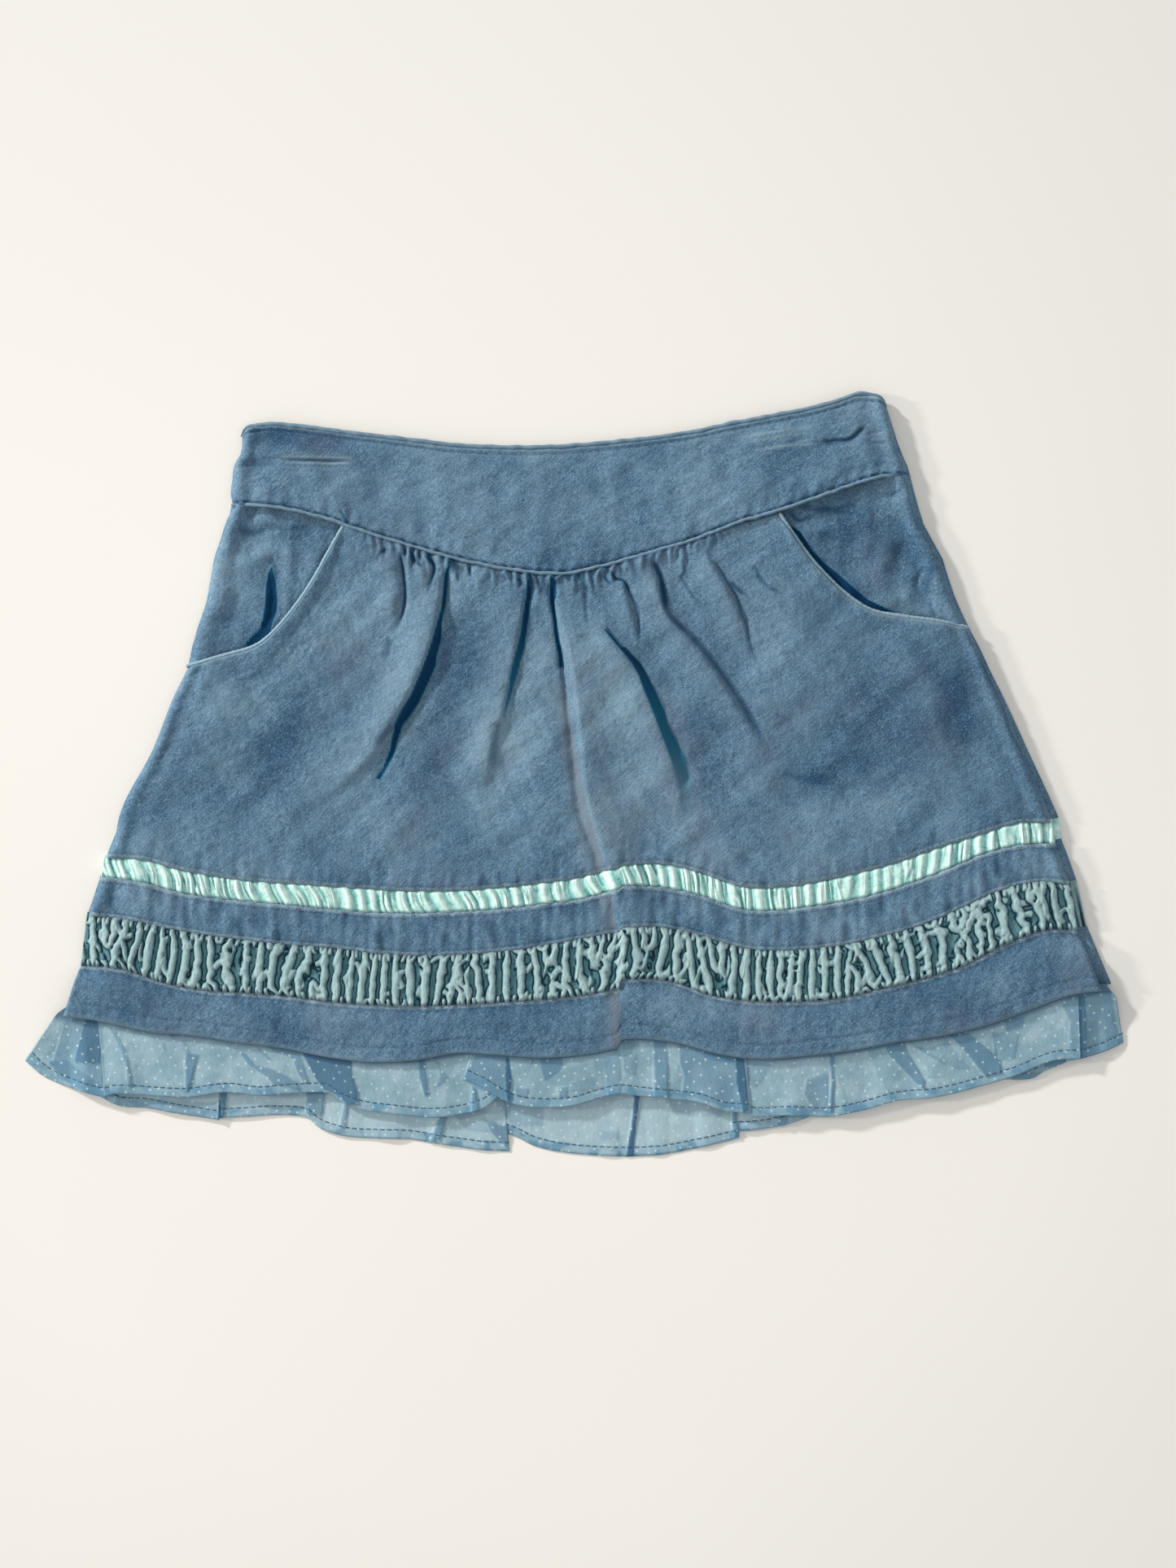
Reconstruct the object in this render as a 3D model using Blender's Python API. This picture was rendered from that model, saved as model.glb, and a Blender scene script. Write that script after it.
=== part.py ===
# A child's flared velour skirt, laid flat with its front side up, in metres with +Z up.
# The waist points along +Y, the back rests on z = 0 and the origin lies under the middle.
# Lengths are written in millimetres and scaled by MM where a mesh or a curve is made.

from collections import namedtuple

import bpy
import numpy as np

MM = 0.001
OBJECT_NAME = "velour_skirt"

# Cloth thicknesses and the clearances between pieces
VELOUR = 1.5
VOILE = 1.0
SATIN = 1.0
SEAM_GAP = 0.36
LAYER_GAP = 0.3

# Lines across the front. Each row gives a line's left and right ends, how far the back shows past
# its right end, how much the back's own line sags in the middle, the step at the centre lap, and
# the line's height at thirteen equal steps from left to right.
Line = namedtuple("Line", "left right strip sag lap heights")
LINES = {
    "waist": Line(-127.5, 119.5, 0.0, 12.0, 0.0,
                  (132.5, 133.0, 130.5, 128.0, 125.5, 125.0, 125.0,
                   127.0, 129.5, 133.5, 137.5, 142.0, 144.0)),
    "yoke": Line(-131.0, 127.0, 0.5, 20.0, 0.0,
                 (103.5, 101.5, 96.0, 89.0, 82.5, 78.5, 77.0, 82.5, 88.5, 96.5, 103.0, 110.5, 114.5)),
    "satin_top": Line(-180.0, 183.0, 2.5, 13.0, 0.6,
                      (-31.5, -36.5, -41.0, -43.0, -44.5, -43.0, -39.0,
                       -34.0, -43.0, -41.0, -33.0, -23.0, -18.5)),
    "satin_low": Line(-181.5, 184.5, 2.5, 13.0, 1.2,
                      (-39.0, -45.0, -48.5, -51.5, -52.5, -51.0, -47.5,
                       -42.5, -51.0, -49.5, -42.0, -30.0, -26.5)),
    "velvet_top": Line(-186.5, 190.0, 2.5, 13.0, 1.8,
                       (-54.0, -59.0, -63.5, -66.5, -69.5, -68.0, -63.0,
                        -58.5, -66.5, -66.0, -59.0, -45.0, -42.0)),
    "velvet_low": Line(-189.0, 192.5, 4.5, 13.0, 3.6,
                       (-72.5, -79.0, -83.0, -86.5, -88.0, -86.5, -84.0,
                        -78.5, -86.0, -85.0, -77.5, -64.5, -60.0)),
    "hem": Line(-195.0, 201.5, 5.0, 13.0, 3.0,
                (-92.0, -98.0, -102.0, -107.5, -109.0, -107.0, -106.5,
                 -102.5, -108.5, -105.0, -100.0, -90.0, -82.0)),
}
STATIONS = 12

# The centre lap, in shares of a line's length
LAP_SHARE = 0.533
LAP_WIDTH_SHARE = 0.012

# The lower edges of the two ruffles, in the same steps. The back ruffle hangs lower in the middle.
Edge = namedtuple("Edge", "left right heights")
RUFFLE_EDGES = {
    "front": Edge(-210.8, 210.8, (-109.5, -123.0, -122.5, -122.5, -129.5, -127.5, -126.5,
                                  -124.0, -130.5, -129.5, -123.5, -112.5, -102.5)),
    "back": Edge(-186.0, 190.0, (-119.0, -129.0, -131.5, -137.0, -140.5, -144.5, -145.5,
                                 -146.0, -137.0, -127.0, -120.5, -115.0, -105.0)),
}
RUFFLE_TUCK = 9.0
TUCK_INSET = 1.2

# How much higher the back's lines lie than its arcs' chords give, and how much lower its waist
BACK_RISE = 2.0
BACK_WAIST_DROP = 4.0
BACK_INSET = 0.6

# Pocket mouths, from the side seam up to the yoke seam, as (x, y)
LEFT_MOUTH = ((-148.0, 41.1), (-133.0, 45.3), (-122.0, 48.6), (-114.2, 54.5), (-104.8, 65.8),
              (-98.6, 75.2), (-93.5, 84.5), (-87.3, 95.4))
RIGHT_MOUTH = ((150.5, 55.8), (138.9, 58.3), (124.8, 60.2), (112.7, 62.7), (101.4, 70.5),
               (91.1, 81.1), (83.6, 91.1), (78.0, 99.6))
MOUTH_LIFT = 1.2
MOUTH_EASE = 6.0
HIP_MARGIN = 8.0

# The width over which the front comes down to the back at each side
SIDE_ROLL = 14.0

# Underside of the front at each line, at the sides and inside them
Layer = namedtuple("Layer", "side inside")
LAYERS = {
    "waist": Layer(1.8, 2.4),
    "yoke": Layer(1.8, 3.7),
    "satin_top": Layer(1.8, 3.2),
    "satin_low": Layer(1.8, 3.2),
    "velvet_top": Layer(1.8, 3.2),
    "velvet_low": Layer(1.8, 3.4),
    "hem": Layer(4.5, 4.5),
}
HEM_RISE_SHARE = 0.42
BACK_STEPS = 24
BACK_POCKET_SAG = 16.0

# Folds of the front panel, as ridges. Each has the points of its crest from top to bottom, its
# height, and how far it spreads to its left and to its right.
Fold = namedtuple("Fold", "crest height left right")
FOLDS = (
    Fold(((-68.0, 84.0), (-68.0, 70.0), (-75.0, 50.0)), 1.6, 6.0, 3.5),
    Fold(((-51.5, 79.0), (-57.0, 60.0), (-63.0, 42.0), (-73.0, 18.0), (-88.0, -10.0)), 4.5, 12.0, 5.0),
    Fold(((-19.0, 73.0), (-24.0, 48.0), (-30.0, 20.0), (-41.0, -22.0)), 2.2, 9.0, 6.0),
    Fold(((-9.0, 72.0), (-4.0, 48.0), (-0.5, 16.0), (4.0, -15.0), (11.0, -34.0), (16.5, -58.0),
          (19.5, -82.0), (21.0, -108.0)), 2.4, 3.5, 10.0),
    Fold(((6.0, 62.0), (18.0, 43.0), (28.0, 26.0), (36.0, 4.0), (38.0, -18.0)), 4.0, 11.0, 4.5),
    Fold(((17.0, 74.0), (21.0, 60.0), (24.0, 48.0)), 1.6, 5.0, 3.5),
    Fold(((28.5, 82.0), (33.0, 66.0), (48.0, 46.0), (62.0, 24.0), (76.0, 2.0)), 2.4, 9.0, 6.0),
    Fold(((48.0, 86.0), (58.0, 68.0), (66.0, 46.0)), 1.8, 6.0, 4.0),
    Fold(((80.0, 84.0), (92.0, 50.0), (104.0, 10.0)), 1.2, 14.0, 12.0),
)

# Creases across the yoke
YOKE_FOLDS = (
    Fold(((-122.0, 121.0), (-103.0, 122.0), (-84.0, 121.0)), 0.7, 3.0, 4.0),
    Fold(((58.0, 124.0), (84.0, 131.0), (110.0, 134.0)), 0.8, 4.0, 3.0),
)

# Gathers under the yoke seam: the places of the first and the last, their number and their size
GATHER_START = -79.0
GATHER_END = 57.0
GATHERS = 34
GATHER_HEIGHT = 0.9
GATHER_LENGTH = 13.0
GATHER_ONSET = 2.5

# Rows of the front panel's grid, closer where the gathers are
PANEL_ROWS = (0.0, 0.02, 0.06, 0.12, 0.19, 0.27, 0.36, 0.46, 0.57, 0.7, 0.84, 1.0)

# Ruching of the velvet and of the satin, in crests across the front
VELVET_CRESTS = 75
VELVET_RIDGE = 1.9
SATIN_CRESTS = 60
SATIN_RIDGE = 0.8

# Pleats of the ruffles: where each starts under the hem, where it ends, its height and its spread
Pleat = namedtuple("Pleat", "top foot height spread")
FRONT_PLEATS = (
    Pleat(-188.0, -200.0, 1.6, 7.0),
    Pleat(-181.0, -181.5, 2.6, 5.0),
    Pleat(-163.0, -156.0, 1.2, 7.0),
    Pleat(-147.0, -147.0, 1.6, 5.0),
    Pleat(-127.0, -108.0, 1.4, 6.0),
    Pleat(-104.0, -98.0, 2.2, 6.0),
    Pleat(-84.0, -80.0, 1.4, 6.0),
    Pleat(-58.0, -57.0, 1.6, 5.0),
    Pleat(-42.0, -34.0, 2.8, 7.0),
    Pleat(-25.0, -24.0, 1.8, 5.0),
    Pleat(0.0, -6.0, 1.2, 8.0),
    Pleat(18.5, 18.5, 2.6, 6.0),
    Pleat(33.0, 34.0, 1.6, 6.0),
    Pleat(52.0, 56.0, 2.0, 7.0),
    Pleat(66.5, 68.0, 2.8, 5.0),
    Pleat(98.5, 98.0, 1.8, 5.0),
    Pleat(122.0, 130.0, 1.6, 7.0),
    Pleat(146.0, 163.0, 2.2, 7.0),
    Pleat(170.0, 174.0, 1.4, 7.0),
    Pleat(193.5, 193.5, 2.6, 5.0),
)
BACK_PLEATS = (
    Pleat(-140.0, -136.0, 0.7, 6.0),
    Pleat(-104.0, -101.0, 0.7, 6.0),
    Pleat(-86.0, -84.0, 0.6, 6.0),
    Pleat(-52.0, -50.0, 0.7, 6.0),
    Pleat(-27.0, -25.0, 0.7, 7.0),
    Pleat(21.0, 22.0, 0.7, 5.0),
    Pleat(62.0, 63.0, 0.7, 5.0),
)

# Piped edges
WAIST_PIPING_RADIUS = 1.0
PIPING_RADIUS = 0.75

# Colours from the photograph, as linear red, green and blue
COLOURS = {
    "velour": (0.107, 0.195, 0.287),
    "piping": (0.223, 0.328, 0.413),
    "satin": (0.305, 0.679, 0.578),
    "velvet": (0.120, 0.235, 0.279),
    "voile": (0.262, 0.413, 0.503),
}


def smooth_step(value):
    """0 below 0, 1 above 1 and an eased rise between."""
    share = np.clip(value, 0.0, 1.0)
    return share * share * (3.0 - 2.0 * share)


def smooth_curve(places, table_places, table_values):
    """A smooth curve through a table: cubic pieces whose slopes come from the two neighbours."""
    table_places = np.asarray(table_places, dtype=float)
    table_values = np.asarray(table_values, dtype=float)
    slopes = np.gradient(table_values, table_places)
    piece = np.clip(np.searchsorted(table_places, places, side="right") - 1, 0, len(table_places) - 2)
    width = table_places[piece + 1] - table_places[piece]
    t = (places - table_places[piece]) / width
    start, end = table_values[piece], table_values[piece + 1]
    return ((2 * t ** 3 - 3 * t ** 2 + 1) * start + (t ** 3 - 2 * t ** 2 + t) * width * slopes[piece]
            + (3 * t ** 2 - 2 * t ** 3) * end + (t ** 3 - t ** 2) * width * slopes[piece + 1])


def smooth_path(points, count):
    """Points at equal steps of the parameter along a smooth curve through the given ones."""
    points = np.asarray(points, dtype=float)
    steps = np.arange(len(points), dtype=float)
    places = np.linspace(0.0, len(points) - 1.0, count)
    return np.stack([smooth_curve(places, steps, points[:, axis]) for axis in range(2)], axis=1)


def lap_step(u):
    """The sudden part of the rise at the centre lap, less the even rise that the table holds."""
    sudden = smooth_step((u - LAP_SHARE) / LAP_WIDTH_SHARE + 0.5)
    even = np.clip((u - 6 / STATIONS) * STATIONS, 0.0, 1.0)
    return sudden - even


def front_line(name, u):
    """A line of the front: x and y at the shares u of the way from left to right."""
    line = LINES[name]
    x = line.left + (line.right - line.left) * u
    y = smooth_curve(u, np.arange(STATIONS + 1) / STATIONS, line.heights) + line.lap * lap_step(u)
    return x, y


def back_line(name, u):
    """A line of the back: a plain arc between the line's ends, just above the front's own line."""
    line = LINES[name]
    left = line.left + BACK_INSET
    x = left + (line.right + line.strip - left) * u
    chord = line.heights[0] + (line.heights[-1] - line.heights[0]) * u
    return x, chord - 4.0 * line.sag * u * (1.0 - u) + BACK_RISE


def front_height_at(name, x):
    """The height of a front line above the place x."""
    line = LINES[name]
    return front_line(name, np.clip((x - line.left) / (line.right - line.left), 0.0, 1.0))[1]


def path_distance(x, y, path):
    """The share of a path's length nearest to each point, and the signed distance, left below 0."""
    best = np.full(np.shape(x), np.inf)
    share = np.zeros(np.shape(x))
    signed = np.zeros(np.shape(x))
    lengths = np.hypot(*np.diff(path, axis=0).T)
    reached = np.concatenate([[0.0], np.cumsum(lengths)])
    for index, length in enumerate(lengths):
        start = path[index]
        along = (path[index + 1] - start) / length
        t = np.clip((x - start[0]) * along[0] + (y - start[1]) * along[1], 0.0, length)
        away_x = x - start[0] - t * along[0]
        away_y = y - start[1] - t * along[1]
        distance = np.hypot(away_x, away_y)
        nearer = distance < best
        side = np.where(along[0] * away_y - along[1] * away_x > 0.0, 1.0, -1.0)
        best = np.where(nearer, distance, best)
        share = np.where(nearer, (reached[index] + t) / reached[-1], share)
        signed = np.where(nearer, side * distance, signed)
    return share, signed


def fold_heights(x, y, folds):
    """The sum of the folds: each a bell across its crest that swells and fades along it."""
    total = np.zeros(np.shape(x))
    for fold in folds:
        share, side = path_distance(x, y, smooth_path(fold.crest, 16))
        spread = np.where(side > 0.0, fold.right, fold.left)
        swell = smooth_step(share / 0.2) * smooth_step((1.0 - share) / 0.45)
        total = total + fold.height * swell * np.exp(-(side / spread) ** 2)
    return total


def side_ease(u, width):
    """0 at either side edge of a piece of that width and 1 from SIDE_ROLL inwards."""
    return smooth_step(np.minimum(u, 1.0 - u) * width / SIDE_ROLL)


def front_underside(upper, lower, u, v, width):
    """The underside of a front piece between two lines, lowered onto the back at the sides."""
    blend = smooth_step(v / HEM_RISE_SHARE) if lower == "hem" else v
    side = LAYERS[upper].side + (LAYERS[lower].side - LAYERS[upper].side) * blend
    inside = LAYERS[upper].inside + (LAYERS[lower].inside - LAYERS[upper].inside) * blend
    return side + (inside - side) * side_ease(u, width)


def rows_between(upper, lower, rows):
    """Grid rows from an upper line to a lower one, half a seam's gap short of each."""
    v = np.asarray(rows, dtype=float)[:, None]
    top_x, top_y = upper[0], upper[1] - SEAM_GAP / 2
    low_x, low_y = lower[0], lower[1] + SEAM_GAP / 2
    return top_x + (low_x - top_x) * v, top_y + (low_y - top_y) * v, v


def across(count):
    """Even shares from 0 to 1 with two more at the foot and the head of the centre lap."""
    lap = (LAP_SHARE - LAP_WIDTH_SHARE / 2, LAP_SHARE + LAP_WIDTH_SHARE / 2)
    even = np.linspace(0.0, 1.0, count + 1)
    apart = np.min(np.abs(even[:, None] - np.asarray(lap)[None, :]), axis=1) > LAP_WIDTH_SHARE / 3
    return np.sort(np.concatenate([even[apart], lap]))


def make_material(name, colour, roughness):
    material = bpy.data.materials.new(name)
    material.use_nodes = True
    shader = material.node_tree.nodes["Principled BSDF"]
    shader.inputs["Base Color"].default_value = (*COLOURS[colour], 1.0)
    shader.inputs["Roughness"].default_value = roughness
    shader.inputs["Metallic"].default_value = 0.0
    return material


def add_object(name, data, colour, roughness):
    """Puts a mesh or a curve in the skirt's collection, under its empty, with its own material."""
    data.materials.append(make_material(name, colour, roughness))
    item = bpy.data.objects.new(name, data)
    item.parent = bpy.data.objects[OBJECT_NAME]
    bpy.data.collections[OBJECT_NAME].objects.link(item)
    return item


def wall(name, x, y, top, under, colour, roughness=0.9, plain_inside=False):
    """A closed wall of cloth: a grid of outer points, the points under them and four rims.

    With a plain inside, only the first and the last row have points underneath.
    """
    rows, columns = x.shape
    top = np.broadcast_to(top, x.shape)
    under = np.broadcast_to(under, x.shape)
    kept = [0, rows - 1] if plain_inside else list(range(rows))
    outer = np.stack([x, y, top], axis=2).reshape(-1, 3)
    inner = np.stack([x[kept], y[kept], under[kept]], axis=2).reshape(-1, 3)

    def up(row, column):
        return row * columns + column

    def down(row, column):
        return rows * columns + row * columns + column

    faces = []
    for r in range(rows - 1):
        for c in range(columns - 1):
            faces.append((up(r, c), up(r + 1, c), up(r + 1, c + 1), up(r, c + 1)))
    last = len(kept) - 1
    for r in range(last):
        for c in range(columns - 1):
            faces.append((down(r, c), down(r, c + 1), down(r + 1, c + 1), down(r + 1, c)))
    for c in range(columns - 1):
        faces.append((up(0, c), up(0, c + 1), down(0, c + 1), down(0, c)))
        faces.append((up(rows - 1, c + 1), up(rows - 1, c), down(last, c), down(last, c + 1)))
    end = columns - 1
    if plain_inside:
        faces.append(tuple(up(r, 0) for r in reversed(range(rows))) + (down(0, 0), down(1, 0)))
        faces.append(tuple(up(r, end) for r in range(rows)) + (down(1, end), down(0, end)))
    else:
        for r in range(rows - 1):
            faces.append((up(r + 1, 0), up(r, 0), down(r, 0), down(r + 1, 0)))
            faces.append((up(r, end), up(r + 1, end), down(r + 1, end), down(r, end)))
    mesh = bpy.data.meshes.new(name)
    mesh.from_pydata((np.concatenate([outer, inner]) * MM).tolist(), [], faces)
    mesh.shade_smooth()
    mesh.set_sharp_from_angle(angle=0.7)
    return add_object(name, mesh, colour, roughness)


def piping(name, points, radius):
    """A round piped edge along a run of points."""
    curve = bpy.data.curves.new(name, "CURVE")
    curve.dimensions = "3D"
    curve.bevel_depth = radius * MM
    curve.bevel_resolution = 2
    curve.use_fill_caps = True
    spline = curve.splines.new("POLY")
    spline.points.add(len(points) - 1)
    for point, place in zip(spline.points, points):
        point.co = (*(np.asarray(place) * MM), 1.0)
    return add_object(name, curve, "piping", 0.85)


def front_piece(name, upper, lower, u, rows, folds=FOLDS):
    """A plain front piece between two lines, raised by the folds that run through it."""
    x, y, v = rows_between(front_line(upper, u), front_line(lower, u), rows)
    width = LINES[lower].right - LINES[lower].left
    under = front_underside(upper, lower, u, v, width) + fold_heights(x, y, folds) * side_ease(u, width)
    return wall(name, x, y, under + VELOUR, under, "velour")


def back_piece(name, lines, rows_each, colour):
    """A back piece that lies flat on z = 0, through two or more lines from top to bottom."""
    xs, ys = [], []
    for index in range(len(lines) - 1):
        v = np.linspace(0.0, 1.0, rows_each + 1)[1 if index else 0:, None]
        xs.append(lines[index][0] + (lines[index + 1][0] - lines[index][0]) * v)
        ys.append(lines[index][1] + (lines[index + 1][1] - lines[index][1]) * v)
    x, y = np.concatenate(xs), np.concatenate(ys)
    y[0] -= SEAM_GAP / 2
    y[-1] += SEAM_GAP / 2
    return wall(name, x, y, VELOUR, 0.0, colour)


def make_back():
    """The six pieces of the back. Their ruching lies underneath, pressed flat by the floor."""
    u = np.linspace(0.0, 1.0, BACK_STEPS + 1)
    waist_x, waist_y = back_line("waist", u)
    back_piece("yoke_back", ((waist_x, waist_y - BACK_WAIST_DROP), back_line("yoke", u)), 2, "velour")
    (left_x, left_y), (right_x, right_y) = LEFT_MOUTH[0], RIGHT_MOUTH[0]
    pocket_x = left_x + BACK_INSET + (right_x - left_x) * u
    pocket_y = left_y + (right_y - left_y) * u - 4.0 * BACK_POCKET_SAG * u * (1.0 - u)
    panel_lines = (back_line("yoke", u), (pocket_x, pocket_y), back_line("satin_top", u))
    back_piece("panel_back", panel_lines, 3, "velour")
    trims = (
        ("satin_back", "satin_top", "satin_low", "satin"),
        ("band_back", "satin_low", "velvet_top", "velour"),
        ("velvet_back", "velvet_top", "velvet_low", "velvet"),
        ("hem_band_back", "velvet_low", "hem", "velour"),
    )
    for name, upper, lower, colour in trims:
        back_piece(name, (back_line(upper, u), back_line(lower, u)), 1, colour)


def make_yoke():
    """The front yoke, creased near both sides."""
    columns, rows = np.linspace(0.0, 1.0, 33), np.linspace(0.0, 1.0, 6)
    front_piece("yoke_front", "waist", "yoke", columns, rows, YOKE_FOLDS)


def seam_part(left_x, right_x, count):
    """Points of the yoke seam between two places, as x and y."""
    x = np.linspace(left_x, right_x, count)
    return x, front_height_at("yoke", x)


def make_panel():
    """The gathered front panel: its top runs up one pocket mouth, along the yoke and down the other."""
    left_x, left_y = smooth_path(LEFT_MOUTH, 13).T
    right_x, right_y = smooth_path(RIGHT_MOUTH[::-1], 13).T
    gathered = np.linspace(GATHER_START, GATHER_END, 2 * GATHERS + 1)
    plain_left = np.linspace(LEFT_MOUTH[-1][0], GATHER_START, 3)[1:-1]
    plain_right = np.linspace(GATHER_END, RIGHT_MOUTH[-1][0], 6)[1:-1]
    seam_x = np.concatenate([plain_left, gathered, plain_right])
    top_x = np.concatenate([left_x, seam_x, right_x])
    top_y = np.concatenate([left_y, front_height_at("yoke", seam_x), right_y])
    u = (top_x - top_x[0]) / (top_x[-1] - top_x[0])
    low = front_line("satin_top", u)
    x, y, v = rows_between((top_x, top_y), low, PANEL_ROWS)
    width = LINES["satin_top"].right - LINES["satin_top"].left
    ease = side_ease(u, width)
    under = front_underside("yoke", "satin_top", u, v, width)
    below = top_y[None, :] - y
    crest = 0.5 - 0.5 * np.cos(2.0 * np.pi * GATHERS * (top_x - GATHER_START) / (GATHER_END - GATHER_START))
    in_gathers = (top_x > GATHER_START - 0.01) & (top_x < GATHER_END + 0.01)
    started = smooth_step(below / GATHER_ONSET)
    fade = 1.0 - smooth_step((below - GATHER_ONSET) / GATHER_LENGTH)
    gathers = GATHER_HEIGHT * np.where(in_gathers, crest, 0.0) * started * fade
    in_mouth = smooth_step((LEFT_MOUTH[-1][0] - top_x) / MOUTH_EASE)
    in_mouth = in_mouth + smooth_step((top_x - RIGHT_MOUTH[-1][0]) / MOUTH_EASE)
    lift = MOUTH_LIFT * in_mouth * ease * (1.0 - smooth_step(below / HIP_MARGIN / 2.0))
    under = under + (fold_heights(x, y, FOLDS) + gathers) * ease + lift
    wall("panel_front", x, y, under + VELOUR, under, "velour")


def make_hip(name, mouth, on_left):
    """A hip piece, from the yoke seam and the side down to just under the pocket mouth."""
    count = 13
    mouth_x, mouth_y = smooth_path(mouth, count).T
    reach = np.hypot(mouth_x - mouth_x[0], mouth_y - mouth_y[0])
    margin = HIP_MARGIN * smooth_step((reach - SIDE_ROLL) / SIDE_ROLL)
    inward = 1.0 if on_left else -1.0
    low_x = mouth_x + inward * margin * 0.6
    low_y = mouth_y - margin * 0.8 + SEAM_GAP * (margin < 0.01)
    side_x = LINES["yoke"].left if on_left else LINES["yoke"].right
    top_x, top_y = seam_part(side_x, low_x[-1], count)
    columns = slice(None) if on_left else slice(None, None, -1)
    x, y, v = rows_between((top_x[columns], top_y[columns]), (low_x[columns], low_y[columns]),
                           np.linspace(0.0, 1.0, 8))
    under = LAYERS["yoke"].side
    wall(name, x, y, under + VELOUR, under, "velour")


def ruched_piece(name, upper, lower, crests, ridge, base, colour, shares, roughness):
    """A ruched inset: crests and valleys across it over a plain inside, uneven in height and lean.

    A crest's height follows two slow waves of its number, and its middle wanders sideways.
    """
    number = np.arange(2 * crests + 1)
    u = number / (2.0 * crests)
    wander = 0.30 * np.sin(1.7 * number + 0.8 * np.sin(0.61 * number)) / (2.0 * crests)
    wander[[0, -1]] = 0.0
    x, y, v = rows_between(front_line(upper, u), front_line(lower, u), shares)
    width = LINES[lower].right - LINES[lower].left
    x = x + wander * width * np.sin(np.pi * v)
    under = front_underside(upper, lower, u, v, width) + fold_heights(x, y, FOLDS) * side_ease(u, width)
    under = np.minimum(under, np.maximum(under[:1], under[-1:]))
    height = ridge * (0.72 + 0.2 * np.sin(0.9 * number) + 0.08 * np.sin(2.3 * number))
    raised = np.where(number % 2 == 1, height, 0.12 * ridge) * np.sin(np.pi * (0.12 + 0.76 * v))
    wall(name, x, y, under + base + raised, under, colour, roughness, plain_inside=True)


def make_front_trims():
    ruched_piece("satin_front", "satin_top", "satin_low", SATIN_CRESTS, SATIN_RIDGE, SATIN, "satin",
                 (0.0, 0.5, 1.0), 0.35)
    front_piece("band_front", "satin_low", "velvet_top", across(60), (0.0, 1.0))
    ruched_piece("velvet_front", "velvet_top", "velvet_low", VELVET_CRESTS, VELVET_RIDGE, SATIN, "velvet",
                 (0.0, 0.2, 0.5, 0.8, 1.0), 0.8)
    rise_rows = (0.0, HEM_RISE_SHARE / 2, HEM_RISE_SHARE, 1.0)
    front_piece("hem_band_front", "velvet_low", "hem", across(60), rise_rows)


def pleat_heights(x, hem_y, foot_y, y, pleats):
    """A ruffle's pleats: bells across lines that run from the hem to the ruffle's edge."""
    down = np.clip((hem_y - y) / (hem_y - foot_y), 0.0, 1.0)
    total = np.zeros(np.shape(x))
    for pleat in pleats:
        middle = pleat.top + (pleat.foot - pleat.top) * down
        total = total + pleat.height * np.exp(-((x - middle) / pleat.spread) ** 2)
    return total * smooth_step(down / 0.5)


def make_ruffle(name, side, columns, drop_start, drop_end, drop_length, pleats):
    """A ruffle: tucked in flat above the hem, then let down over drop_length and pleated."""
    edge = RUFFLE_EDGES[side]
    u = np.linspace(0.0, 1.0, columns)
    hem_x, hem_y = (front_line if side == "front" else back_line)("hem", u)
    foot_x = edge.left + (edge.right - edge.left) * u
    foot_y = smooth_curve(u, np.arange(STATIONS + 1) / STATIONS, edge.heights)
    below = np.linspace(0.0, 1.0, 4)[:, None]
    x = np.vstack([hem_x, hem_x + (foot_x - hem_x) * below])
    y = np.vstack([hem_y + RUFFLE_TUCK, hem_y + (foot_y - hem_y) * below])
    x[:2] += TUCK_INSET * (1.0 - 2.0 * u)
    let_down = smooth_step((hem_y - y) / drop_length)
    under = drop_start + (drop_end(u) - drop_start) * let_down
    under = under + pleat_heights(x, hem_y, foot_y, y, pleats)
    wall(name, x, y, under + VOILE, under, "voile", 0.7)


def make_ruffles():
    back_top = VELOUR + LAYER_GAP
    front_top = back_top + VOILE + LAYER_GAP
    over_back = 2.3

    def back_foot(u):
        return 0.0 * u

    def front_foot(u):
        past_back = smooth_step((0.07 - u) / 0.04) + smooth_step((u - 0.955) / 0.03)
        return over_back + (0.3 - over_back) * past_back

    make_ruffle("ruffle_back", "back", 49, back_top, back_foot, 8.0, BACK_PLEATS)
    make_ruffle("ruffle_front", "front", 85, front_top, front_foot, 16.0, FRONT_PLEATS)


def make_piping():
    """The rolled waist edge and the piping of the yoke seam and of both pocket mouths."""
    u = np.linspace(0.0, 1.0, 29)
    ease = side_ease(u, LINES["yoke"].right - LINES["yoke"].left)
    waist_x, waist_y = front_line("waist", u)
    waist_z = LAYERS["waist"].side + (LAYERS["waist"].inside - LAYERS["waist"].side) * ease + 0.5 * VELOUR
    edge_y = waist_y - SEAM_GAP / 2 + LAYER_GAP + WAIST_PIPING_RADIUS
    piping("waist_piping", np.stack([waist_x, edge_y, waist_z], axis=1), WAIST_PIPING_RADIUS)
    seam_x, seam_y = front_line("yoke", u)
    seam_under = LAYERS["yoke"].side + (LAYERS["yoke"].inside - LAYERS["yoke"].side) * ease
    seam_z = seam_under + VELOUR + LAYER_GAP + PIPING_RADIUS
    piping("yoke_piping", np.stack([seam_x, seam_y, seam_z], axis=1), PIPING_RADIUS)
    for side, mouth, inward in (("left", LEFT_MOUTH, 1.0), ("right", RIGHT_MOUTH, -1.0)):
        path = smooth_path(mouth, 17)
        along = np.gradient(path, axis=0)
        along /= np.hypot(along[:, 0], along[:, 1])[:, None]
        outward = np.stack([-along[:, 1], along[:, 0]], axis=1) * inward
        path = path + outward * (LAYER_GAP + PIPING_RADIUS + SEAM_GAP / 2)
        height = LAYERS["yoke"].side + VELOUR + LAYER_GAP + PIPING_RADIUS
        points = np.column_stack([path, np.full(len(path), height)])
        piping(f"pocket_piping_{side}", points[:-1], PIPING_RADIUS)


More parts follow.
